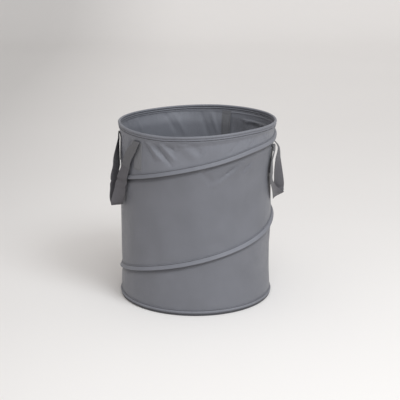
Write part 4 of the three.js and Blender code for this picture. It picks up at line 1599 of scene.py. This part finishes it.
@dataclass
class Spring(SubAssembly):
    """The spiral wire with its end caps, and the folded and stitched channel that carries it."""

    start: float = 15.0
    stop: float = 705.0
    step: float = 1.25
    wire: float = 1.5 * MM
    cap_wall: float = 0.6 * MM
    cap_length: float = 10 * MM
    tail: float = 12 * MM
    layer: float = 0.8 * MM
    cord: float = 3.3 * MM
    cord_steps: int = 26
    slope: float = 26.0
    groove: float = 10 * MM
    thread: float = 0.42 * MM

    def build(self) -> None:
        """Builds and dresses the spring and its channel."""
        self._channel()
        keep = self.collapse.keep_channel
        tail = self.tail / self.hamper.per_degree
        wound = np.arange(self.start - tail, self.stop + tail, 2.0)
        wire = Skin()
        wire.loft(self.hamper.lean(self._round(wound, self.wire)), halves=False)
        self.put(wire, "spiral_spring", "steel", Body.BASE, Slot.STEEL, ["spiral_wire"], keep)
        for name, end, way in (("upper", wound[0], 1), ("lower", wound[-1], -1)):
            cap, node = self._cap(end, way), f"spiral_{name}_cap"
            self.put(cap, f"spiral_{name}_tip", "plastic", Body.BASE, Slot.PLASTIC, [node], keep)

    def seat(self, wound: np.ndarray, height: np.ndarray) -> np.ndarray:
        """Radius of the face that the channel lies on.

        Args:
            wound: Winding angles.
            height: Heights.

        Returns:
            Radii.
        """
        azimuth = self.hamper.seam - wound
        radius = self.hamper.radius_at(np.mod(wound, TURN), height)
        return radius + self.hamper.relief(azimuth, height) + self.hamper.cloth / 2 + self.hamper.gap

    def _round(self, wound: np.ndarray, radius: float | np.ndarray) -> np.ndarray:
        """Round sections about the wire's line.

        Args:
            wound: Winding angles where the sections stand.
            radius: Their radius.

        Returns:
            The sections' points.
        """
        angle = np.linspace(0, 2 * math.pi, WIRE_SIDES, endpoint=False)[None, :]
        level = self.hamper.spiral_height(wound)[:, None]
        middle = self.seat(wound, level[:, 0])[:, None] + self.hamper.tube
        azimuth = (self.hamper.seam - wound)[:, None]
        return polar(azimuth, middle + radius * np.cos(angle), level + radius * np.sin(angle))

    def _cap(self, end: float, way: int) -> Skin:
        """A soft cap pushed over one end of the wire.

        Args:
            end: The winding angle of the wire's end.
            way: 1 where the wire runs on to larger angles, otherwise -1.

        Returns:
            The cap's skin.
        """
        inner = self.wire + self.hamper.gap / 3
        length = self.cap_length / MM
        reach = np.array([-0.9, -0.75, -0.35, 0.4, 4.0, length - 1.2, length - 0.6])
        swell = np.array([0.35, 0.75, 0.97, 1.0, 1.0, 1.0, 1.12])
        wound = end + way * reach * MM / self.hamper.per_degree
        shell = self._round(wound, ((inner + self.cap_wall) * swell)[:, None])
        bore = self._round(wound[[6, 3]], np.full((2, 1), inner))
        skin = Skin()
        skin.loft(self.hamper.lean(np.concatenate([shell, bore])), halves=False)
        return skin

    def _section(self) -> tuple[np.ndarray, np.ndarray]:
        """The folded tape's outer and inner face.

        Returns:
            Points [out from the wall, up from the wire]: from the fin's top on the wall side, down
            round the tube and up the visible side, and the same path one layer further in.
        """
        fin, tube, layer = self.hamper.fin, self.hamper.tube, self.layer
        wall_side = np.stack([np.zeros(8), np.linspace(fin, 0.0, 8)], axis=1)
        turn = np.array([tube, 0])
        cord = arc(self.cord, 180, TURN + self.slope, self.cord_steps)[1:] + turn
        cord[:, 0] = np.maximum(cord[:, 0], 0.02 * MM)
        front = np.array(FIN_ROWS) * MM
        outside = np.concatenate([wall_side, cord, front])
        inner_front = front - np.array([0.95, 0.3]) * layer
        inner_front[:, 0] = np.maximum(inner_front[:, 0], layer + 0.05 * MM)
        inner_front[-6:, 1] = front[-6:, 1]
        bore = arc(self.hamper.bore, 180, TURN + self.slope, self.cord_steps)[1:] + turn
        inner_side = wall_side + np.array([layer, 0])
        return outside, np.concatenate([inner_side, bore, inner_front])

    def _channel(self) -> None:
        """The channel's tape and its line of stitches."""
        hamper, keep = self.hamper, self.collapse.keep_channel
        wound = np.arange(self.start, self.stop + self.step / 2, self.step)[:, None]
        level = hamper.spiral_height(wound)
        azimuth = hamper.seam - wound
        outside, inside = self._section()
        draw = np.random.default_rng(31)
        ripple = sum(
            draw.uniform(0.05, 0.12) * MM * np.sin(np.radians(wound) * count + draw.uniform(0, 6))
            for count in (23, 41, 67, 95)
        )
        rings = []
        for points in (outside, inside[::-1]):
            out, up = points[:, 0][None, :], points[:, 1][None, :]
            seat = self.seat(wound, level + np.clip(up, 0, None))
            onto = smoothstep(up / (3 * MM)) * (out > 1.2 * MM)
            rings.append(polar(azimuth, seat + out + ripple * onto, level + up))
        skin = Skin()
        out, up = outside.T
        # Painted shade under the cord and along the stitch groove.
        under = smoothstep((-up - 0.6 * MM) / (1.8 * MM)) * (out > 1 * MM)
        groove = smoothstep(1 - np.abs(up - self.groove) / (0.9 * MM)) * (out > 0.5 * MM)
        deep = np.concatenate([np.clip(under + groove, 0, 1), 0 * inside[:, 0]])
        skin.loft(hamper.lean(np.concatenate(rings, axis=1)), painted_shade=deep)
        node = "spiral_channel"
        self.put(skin, "spiral_channel_tape", "binding", Body.BASE, Slot.BINDING, [node], keep)
        fine = np.arange(self.start + 0.6, self.stop - 0.6, 0.25)
        line = hamper.spiral_height(fine) + self.groove
        path = polar(hamper.seam - fine, self.seat(fine, line) + 1.15 * MM, line)
        stitches = Skin()
        stitches.sew(hamper.lean(path), self.thread)
        self.put(stitches, "spiral_channel_stitches", "thread", Body.BASE, Slot.BINDING, keep=keep)


# A loop's route from the front fold to the rear one: the share of its drop, its place between the folds
# from 1 to -1, the share of its width that it stands off, its turn and its roll.
LEFT_LOOP_ROWS = (
    (0.08, 0.9, 0.12, 0, 0), (0.25, 0.534, 0.14, 4, 0), (0.46, 0.352, 0.051, 16, 0),
    (0.68, 0.157, 0.09, 34, 0), (0.88, 0.035, 0.156, 59, 0), (0.96, -0.039, 0.136, 81, 0),
    (1, -0.166, 0.042, 88, 0), (0.96, -0.278, 0.044, 80, 0), (0.88, -0.314, 0.112, 74, 0),
    (0.68, -0.358, 0.053, 58, 0), (0.46, -0.391, 0.007, 45, 0), (0.25, -0.689, 0, 25, 0),
    (0.08, -0.92, 0, 6, 0),
)
RIGHT_LOOP_ROWS = (
    (0.08, 1, 0, 0, 0), (0.25, 1.16, 0, -8, 0), (0.46, 1.2, 0, -4, 0), (0.66, 1.06, 0, -4, 0),
    (0.86, 0.72, 0, 19, 2), (0.95, 0.36, 0.03, 40, 10), (1, -0.2, 0.16, 66, 24),
    (0.955, -0.42, 0.25, 86, 20), (0.84, -0.44, 0.34, 104, 6), (0.62, -0.486, 0.343, 118, 0),
    (0.42, -0.613, 0.507, 135, 0), (0.22, -0.769, 0.79, 153, 0), (0.08, -0.9, 0.5, 174, 0),
)


@dataclass(frozen=True)
class LoopPoint:
    """A point of a loop's middle line, how its webbing turns and rolls there, and the line's direction."""

    azimuth: float
    radius: float
    height: float
    turn: float
    roll: float = 0.0
    along: np.ndarray | None = None


@dataclass
class Handle(SubAssembly):
    """One carrying handle: two sewn ends, a loop of webbing and the cloth tabs over its tops."""

    side: str
    middle: float
    forward: int
    fold_height: float
    drop: float
    rows: Table
    straps: Body
    swing: Body
    width: float = 36 * MM
    thick: float = 2 * MM
    bend: float = 2.6 * MM
    rear_bend: float = 1.6 * MM
    sewn_length: float = 80 * MM
    tab_length: float = 104 * MM
    tab_thick: float = 0.35 * MM
    tab_ease: float = 0.1 * MM
    least_radius: float = 0.2275
    space: float = 0.5 * MM
    gather_share: float = 0.26
    gather_reach: float = 55 * MM
    margin: float = 3.2 * MM
    thread: float = 0.36 * MM
    fold_steps: int = 10
    row_steps: int = 9

    def build(self) -> None:
        """Builds and dresses the handle."""
        centres, wide, through = self._loop_frames()
        reach = reach_along(centres)
        to_fold = np.minimum(reach, reach[-1] - reach)
        gather = 1 - self.gather_share * np.exp(-((to_fold / self.gather_reach) ** 2))
        loop = Skin()
        loop.loft(self._band(centres, wide, through, self.width * gather, self.thick))
        node = f"{self.side}_handle_loop"
        self._put_loop(loop, f"{self.side}_loop_webbing", "webbing", Slot.WEBBING, [node])
        for place, way in (("front", 1), ("rear", -1)):
            near = reach if way > 0 else reach[-1] - reach
            chosen = np.flatnonzero(near <= self.tab_length)
            self._tab(place, centres[chosen], wide[chosen], through[chosen], gather[chosen], way)
            self._sewn_end(place, way)

    def _put_loop(
        self, skin: Skin, name: str, finish: str, slot: Slot, replaces: Sequence[str] = ()
    ) -> None:
        """Makes and dresses a piece that swings with the loop."""
        keep = self.collapse.keep_loop
        self.put(skin, name, finish, self.swing, slot, replaces, keep, self.fold_height)

    def _coil_under(self, azimuth: np.ndarray) -> np.ndarray:
        """Height of the leaning channel's fin below the strap's fold.

        Args:
            azimuth: Places round the hamper.

        Returns:
            Heights.
        """
        upper, lower = self.hamper.runs(self.hamper.wound(azimuth))
        coil = np.where(upper < self.fold_height, upper, lower)
        return coil + self.hamper.fin + self.hamper.rise_at(azimuth, coil)

    def _inside(self, azimuth: np.ndarray, height: np.ndarray) -> np.ndarray:
        """Least radius of the loop at a place, outside the wall, the sewn ends and the channel.

        Args:
            azimuth: Places round the hamper.
            height: Heights.

        Returns:
            Radii.
        """
        hamper = self.hamper
        low = hamper.base_hem_top + 5 * MM
        out = hamper.leaned_face(azimuth, np.clip(height, low, self.fold_height)) + self.thick + self.space
        for run in hamper.runs(hamper.wound(azimuth)):
            coil = run + hamper.rise_at(azimuth, run)
            over = smoothstep((height - coil + 34 * MM) / (30 * MM))
            over = over * (1 - smoothstep((height - coil - hamper.fin) / (30 * MM)))
            out = out + (2 * hamper.tube - self.thick) * over
        return np.maximum(out, self.least_radius)

    def _loop_frames(self) -> tuple[np.ndarray, np.ndarray, np.ndarray]:
        """The loop's line with its webbing's directions.

        Returns:
            Centres, directions across the webbing and directions through it.
        """
        front = self._over_fold(1)
        line = [*front, *self._hang(front[-1].radius), *self._over_fold(-1)]
        centres = polar(*np.array([(point.azimuth, point.radius, point.height) for point in line]).T)
        wide, through = self._directions(line, centres)
        free = np.array([point.along is None for point in line])
        return self._clear_of_wall(centres, wide, through, free), wide, through

    def _over_fold(self, side: int) -> list[LoopPoint]:
        """The turn over one fold.

        Args:
            side: 1 for the front fold, from the sewn end outwards, and -1 for the rear one.

        Returns:
            Its points.
        """
        place = self.middle + side * self.forward * self.hamper.strap_spread
        seat = float(self.hamper.leaned_face(place, self.fold_height)) + self.hamper.gap + self.thick / 2
        bend, row = (self.bend, self.rows[0]) if side > 0 else (self.rear_bend, self.rows[-1])
        turn = round(row[3] / 180) * 180.0
        points = []
        for out, up in arc(bend, 180, 0, self.fold_steps)[::side]:
            along = unit(polar(place, up * side, -out * side))
            height = self.fold_height + up
            points.append(LoopPoint(place, seat + bend + out, height, turn, along=along))
        return points

    def _hang(self, front_hang: float) -> list[LoopPoint]:
        """The free part of the loop, from its table.

        Args:
            front_hang: The radius at which it leaves the front fold.

        Returns:
            Its points.
        """
        rear_hang = front_hang - 2 * (self.bend - self.rear_bend)
        table = smooth_rows(self.rows, self.row_steps)
        places = self.middle + table[:, 1] * self.forward * self.hamper.strap_spread
        levels = self.fold_height - table[:, 0] * self.drop
        points = []
        for row, place, level, inside in zip(table, places, levels, self._inside(places, levels)):
            down, around, off, turn, roll = row
            hang = (front_hang if around > -0.2 else rear_hang) - self.thick / 2
            clear = max(inside, hang + (inside - hang) * min(1.0, 4 * down))
            lean = math.sin(math.radians(turn)) * (self.width / 2)
            flat = abs(math.cos(math.radians(turn))) * self.thick / 2
            points.append(LoopPoint(place, clear + off * self.width + lean + flat, level, turn, roll))
        return points

    def _directions(self, line: list[LoopPoint], centres: np.ndarray) -> tuple[np.ndarray, np.ndarray]:
        """The way that the webbing faces at each point.

        Args:
            line: The loop's points.
            centres: Their places.

        Returns:
            Directions across the webbing and directions through it.
        """
        along = np.gradient(centres, axis=0)
        for index, point in enumerate(line):
            if point.along is not None:
                along[index] = point.along
        along = unit(along)
        away = outward(centres)
        sideways = np.stack([-away[:, 1], away[:, 0], away[:, 2]], axis=1)
        lowest = int(np.argmin(centres[:, 2]))
        inward = np.where(np.arange(len(centres)) <= lowest, -self.forward, self.forward)
        angle = np.radians([point.turn for point in line])[:, None]
        wide = sideways * inward[:, None] * np.cos(angle) + away * np.sin(angle)
        wide = unit(wide - np.sum(wide * along, axis=1, keepdims=True) * along)
        upright = np.array([0.0, 0.0, 1.0]) - along[:, 2:] * along
        tilt = np.radians([point.roll for point in line])[:, None]
        wide = unit(wide * np.cos(tilt) + upright * np.sin(tilt))
        return wide, unit(np.cross(along, wide))

    def _clear_of_wall(
        self, centres: np.ndarray, wide: np.ndarray, through: np.ndarray, free: np.ndarray
    ) -> np.ndarray:
        """Moves the loop out where an edge of its webbing would reach into the wall.

        Args:
            centres: The loop's points.
            wide: Directions across the webbing.
            through: Directions through it.
            free: Which points may move.

        Returns:
            The moved points.
        """
        push = np.zeros(len(centres))
        for x, y in ((-1, -1), (1, -1), (1, 1), (-1, 1)):
            corner = centres + wide * x * (self.width / 2) + through * y * self.thick / 2
            around = np.degrees(np.arctan2(corner[:, 1], corner[:, 0]))
            short = self._inside(around, corner[:, 2]) - np.hypot(corner[:, 0], corner[:, 1])
            push = np.maximum(push, np.clip(short, 0, None) * free)
        reach = range(-4, 5)
        widest = np.max([np.roll(push, shift) for shift in reach], axis=0)
        soft = sum(np.roll(widest, shift) * (5 - abs(shift)) for shift in reach) / 25
        return centres + outward(centres) * (np.maximum(soft, push) * free)[:, None]

    @staticmethod
    def _band(
        centres: np.ndarray, wide: np.ndarray, through: np.ndarray, width: np.ndarray, thick: float
    ) -> np.ndarray:
        """Rings of a flat, ribbed band with round edges.

        Args:
            centres: Its middle line.
            wide: Directions across it.
            through: Directions through it.
            width: Its width at each point of the line.
            thick: Its thickness.

        Returns:
            Rings with the points of one face and then those of the other.
        """
        ribs = 1 + 0.05 * np.cos(BAND_ACROSS * math.pi * 9)
        lift = thick / 2 * BAND_SWELL * ribs
        one = centres[:, None] + wide[:, None] * (BAND_ACROSS * width[:, None] / 2)[:, :, None]
        faces = [one + through[:, None] * (way * lift)[None, :, None] for way in (1, -1)]
        return np.concatenate([faces[0], faces[1][:, ::-1]], axis=1)

    def _tab(
        self,
        place: str,
        centres: np.ndarray,
        wide: np.ndarray,
        through: np.ndarray,
        gather: np.ndarray,
        way: int,
    ) -> None:
        """The cloth sleeve sewn over the top of the webbing.

        Args:
            place: front or rear.
            centres: The webbing's line under the tab.
            wide: Directions across it.
            through: Directions through it.
            gather: The share of its width that is left.
            way: 1 where the line runs away from the fold.
        """
        width = self.width * gather
        thick = self.thick + 2 * self.tab_thick + self.tab_ease
        outside = self._band(centres, wide, through, width + 2 * self.tab_thick + 0.3 * MM, thick)
        inside = self._band(centres, wide, through, width + 0.2 * MM, self.thick + self.tab_ease)
        skin = Skin()
        skin.loft(np.concatenate([outside, inside[::-1]]), closed=True)
        self._put_loop(skin, f"{self.side}_{place}_tab", "tab", Slot.CLOTH)
        stitches = Skin()
        order = np.arange(len(centres))[::way]
        reach = reach_along(centres[order])
        across = np.linspace(-0.92, 0.92, 10)[:, None] * self.width / 2
        for mark in (reach[-1] - 2.2 * MM, reach[-1] - 9 * MM):
            index = order[int(np.argmin(np.abs(reach - mark)))]
            for face in (1, -1):
                line = centres[index] + wide[index] * across + face * through[index] * thick / 2
                along = np.broadcast_to(wide[index], line.shape)
                normal = np.broadcast_to(face * through[index], line.shape)
                stitches.stitches(line, along, normal, 2.7 * MM, self.thread)
        self._put_loop(stitches, f"{self.side}_{place}_tab_stitches", "thread", Slot.WEBBING)

    def _sewn_end(self, place: str, way: int) -> None:
        """The end that lies sewn on the wall below the fold.

        Args:
            place: front or rear.
            way: 1 for the front, -1 for the rear.
        """
        hamper, keep = self.hamper, self.collapse.keep_strap
        azimuth = self.middle + way * self.forward * hamper.strap_spread
        half = math.degrees(self.width / 2 / hamper.rim_wire_radius)
        coil = float(np.max(self._coil_under(azimuth + half * np.array([-1, 0, 1]))))
        foot = max(self.fold_height - self.sewn_length, coil + 0.8 * MM)
        height = np.linspace(foot, self.fold_height - hamper.gap, 30)[:, None]
        places = azimuth + half * BAND_ACROSS[None, :]
        face = hamper.leaned_face(places, height) + 0.12 * MM
        from_side = (1 - np.abs(BAND_ACROSS)) * self.width / 2 - self.margin
        dip = np.exp(-((from_side / (0.7 * MM)) ** 2))
        dip = dip + np.exp(-(((height - foot - self.margin) / (0.7 * MM)) ** 2))
        outer = face + self.thick * BAND_SWELL - 0.35 * MM * np.clip(dip, 0, 1)
        rings = [polar(places, outer, height), polar(places, face, height)[:, ::-1]]
        skin = Skin()
        skin.loft(np.concatenate(rings, axis=1))
        name, node = f"{self.side}_{place}_sewn_end", f"{self.side}_{place}_strap_end"
        self.put(skin, name, "patch", self.straps, Slot.WEBBING, [node], keep, self.fold_height)
        stitches = Skin()
        for where, line in self._box_seam(azimuth, half, foot + self.margin):
            path = polar(where, hamper.leaned_face(where, line) + self.thick - 0.1 * MM, line)
            stitches.sew(path, self.thread)
        name = f"{name}_stitches"
        self.put(stitches, name, "thread", self.straps, Slot.WEBBING, (), keep, self.fold_height)

    def _box_seam(
        self, azimuth: float, half: float, foot: float
    ) -> list[tuple[np.ndarray, np.ndarray]]:
        """The lines of a sewn box with a cross.

        Args:
            azimuth: Its middle.
            half: Half the strap's width in degrees.
            foot: The height of its lower seam.

        Returns:
            Azimuths and heights along each line.
        """
        inset = half * (1 - self.margin / (self.width / 2))
        top = self.fold_height - 6 * MM
        upright = np.linspace(foot, top, 60)
        level = np.linspace(-inset, inset, 30)
        slant = np.linspace(0, 1, 60)
        lines = [(azimuth + s * inset + 0 * upright, upright) for s in (-1, 1)]
        lines += [(azimuth + level, np.full_like(level, h)) for h in (foot, top)]
        rise = foot + (top - foot) * slant
        lines += [(azimuth + s * inset * (1 - 2 * slant), rise) for s in (-1, 1)]
        return lines


@dataclass
class Studio:
    """The pale floor and backdrop, the soft lights and the camera."""

    finishes: Finishes
    lens: float = 94.15
    camera_place: tuple[float, float, float] = (-0.7019, -2.9728, 1.138)
    camera_pitch: float = 74.4
    camera_heading: float = -13.44
    width: float = 9.0
    front: float = -5.0
    back: float = 6.0
    cove: float = 2.0
    top: float = 5.0
    # How far to the left, and how much further back, the backdrop's painted shade reaches.
    painted_shade_reach: float = 1.9
    far_painted_shade_share: float = 0.26
    key_place: tuple[float, float, float] = (1.0, -2.35, 3.05)
    key_aim: tuple[float, float, float] = (0.0, 0.0, 0.25)
    key_size: float = 1.3
    key_power: float = 45.0
    key_colour: Colour = (0.9, 0.96, 1.0)
    room_power: float = 1.0
    room_spread: float = 50.0
    room_pitch: float = 38.0
    room_heading: float = 12.0
    room_colour: Colour = (0.93, 0.97, 1.0)
    air_colour: Colour = (1.0, 0.975, 0.95)
    air_strength: float = 0.6

    def build(self) -> None:
        """Builds the studio."""
        self._backdrop()
        self._lights()
        self._camera()

    @staticmethod
    def _stand(name: str, data: bpy.types.ID) -> bpy.types.Object:
        """Adds an object to the scene.

        Args:
            name: Its name.
            data: Its mesh, light or camera.

        Returns:
            The object.
        """
        made = bpy.data.objects.new(name, data)
        bpy.context.scene.collection.objects.link(made)
        return made

    def _backdrop(self) -> None:
        """One sheet of paper that runs from the floor up the wall behind, with painted shade that darkens
        it to the left and further back.
        """
        curve = arc(self.cove, -90, 0, 16) + np.array([self.back, self.cove])
        floor = np.array([(y, 0.0) for y in (self.front, -0.8, 0.0, 0.8, 1.6, 3.0)])
        away, up = np.concatenate([floor, curve, [(self.back + self.cove, self.top)]]).T
        across = np.concatenate([[-self.width], np.linspace(-2.0, 0.4, 13), [self.width]])
        heading = math.radians(self.camera_heading)
        x, y = np.meshgrid(across, away, indexing="ij")
        east = x * math.cos(heading) - y * math.sin(heading)
        north = x * math.sin(heading) + y * math.cos(heading)
        grid = np.stack([east, north, np.broadcast_to(up, x.shape)], axis=-1)
        count = len(away)
        faces = [
            [i * count + j, (i + 1) * count + j, (i + 1) * count + j + 1, i * count + j + 1]
            for i in range(len(across) - 1)
            for j in range(count - 1)
        ]
        mesh = bpy.data.meshes.new("studio_sweep")
        mesh.from_pydata(grid.reshape(-1, 3).tolist(), [], faces)
        # Painted shade: darker to the left and further back, in place of the lamps' falloff.
        crease = mesh.attributes.new(PAINTED_SHADE_NAME, "FLOAT", "POINT")
        far = self.far_painted_shade_share * smoothstep((away + 0.5) / 1.8)
        shade = np.clip(smoothstep(-across / self.painted_shade_reach)[:, None] + far, 0, 1)
        crease.data.foreach_set("value", shade.ravel().astype(np.float32))
        mesh.shade_smooth()
        sweep = self._stand("studio_sweep", mesh)
        self.finishes.put(sweep, "studio")
        sweep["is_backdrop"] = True

    def _lights(self) -> None:
        """A large soft key from the right front, a wide soft sun from high in front and an even surround.
        """
        key = bpy.data.lights.new("key_light", "AREA")
        key.shape = "SQUARE"
        key.size = self.key_size
        key.energy = self.key_power
        key.color = self.key_colour
        lamp = self._stand("key_light", key)
        lamp.location = self.key_place
        aim = Vector(self.key_aim) - Vector(self.key_place)
        lamp.rotation_euler = aim.to_track_quat("-Z", "Y").to_euler()
        room = bpy.data.lights.new("room_light", "SUN")
        room.energy = self.room_power
        room.angle = math.radians(self.room_spread)
        room.color = self.room_colour
        lamp = self._stand("room_light", room)
        lamp.rotation_euler = (math.radians(self.room_pitch), 0.0, math.radians(self.room_heading))
        world = bpy.data.worlds.new("studio_air")
        world.use_nodes = True
        background = world.node_tree.nodes["Background"]
        background.inputs["Color"].default_value = (*self.air_colour, 1.0)
        background.inputs["Strength"].default_value = self.air_strength
        bpy.context.scene.world = world

    def _camera(self) -> None:
        """The camera at the photograph's angle."""
        data = bpy.data.cameras.new("camera")
        data.lens = self.lens
        data.sensor_width = 36.0
        data.clip_end = 60.0
        camera = self._stand("camera", data)
        camera.location = self.camera_place
        camera.rotation_euler = (math.radians(self.camera_pitch), 0.0, math.radians(self.camera_heading))
        bpy.context.scene.camera = camera
        bpy.context.scene.view_settings.view_transform = "Standard"


def corners() -> list[list[float]]:
    """The shown object's lowest and highest corner as plain lists."""
    return [[float(value) for value in corner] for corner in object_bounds()]


def main() -> None:
    """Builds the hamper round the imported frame, and the studio round the hamper."""
    logging.basicConfig(level=logging.INFO, format="%(message)s")
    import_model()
    hamper, finishes = Hamper(), Finishes()
    shared = (hamper, finishes, Collapse())
    Studio(finishes).build()
    RingHem(
        *shared,
        name="base",
        body=Body.BASE,
        node="base_binding",
        wire_radius=hamper.base_wire_radius,
        wire_height=hamper.base_wire_height,
        way=-1,
        bead=3.58 * MM,
        bead_out=2.9 * MM,
        leg_rows=BASE_LEG_ROWS,
        slot_half=1.25 * MM,
        outer_leg=hamper.base_hem_top - hamper.base_wire_height,
        inner_leg=14.2 * MM - hamper.base_wire_height,
        seed=22,
        painted_shade_steps=9,
    ).build()
    for kind in (Floor, Wall, Spring):
        kind(*shared).build()
    RingHem(
        *shared,
        name="rim",
        body=Body.RIM,
        node="rim_hem",
        wire_radius=hamper.rim_wire_radius,
        wire_height=hamper.rim_wire_height,
        way=1,
        bead=3.85 * MM,
        bead_out=3.85 * MM,
        leg_rows=RIM_LEG_ROWS,
        slot_half=0.7 * MM,
        outer_leg=hamper.rim_wire_height - hamper.rim_hem_foot,
        inner_leg=hamper.rim_wire_height - hamper.rim_hem_foot,
        seed=21,
        tucks=((-38.0, 0.9, 1.2), (-33.5, -0.8, 1.1), (-150.0, 0.7, 1.6), (-143.0, -0.6, 1.3)),
    ).build()
    Handle(
        *shared,
        side="left",
        middle=hamper.left_middle,
        forward=1,
        fold_height=hamper.left_fold_height,
        drop=202.1 * MM,
        rows=LEFT_LOOP_ROWS,
        straps=Body.LEFT_STRAPS,
        swing=Body.LEFT_HANDLE,
    ).build()
    Handle(
        *shared,
        side="right",
        middle=hamper.right_middle,
        forward=-1,
        fold_height=hamper.right_fold_height,
        drop=170 * MM,
        rows=RIGHT_LOOP_ROWS,
        straps=Body.RIGHT_STRAPS,
        swing=Body.RIGHT_HANDLE,
    ).build()


if __name__ == "__main__":
    main()
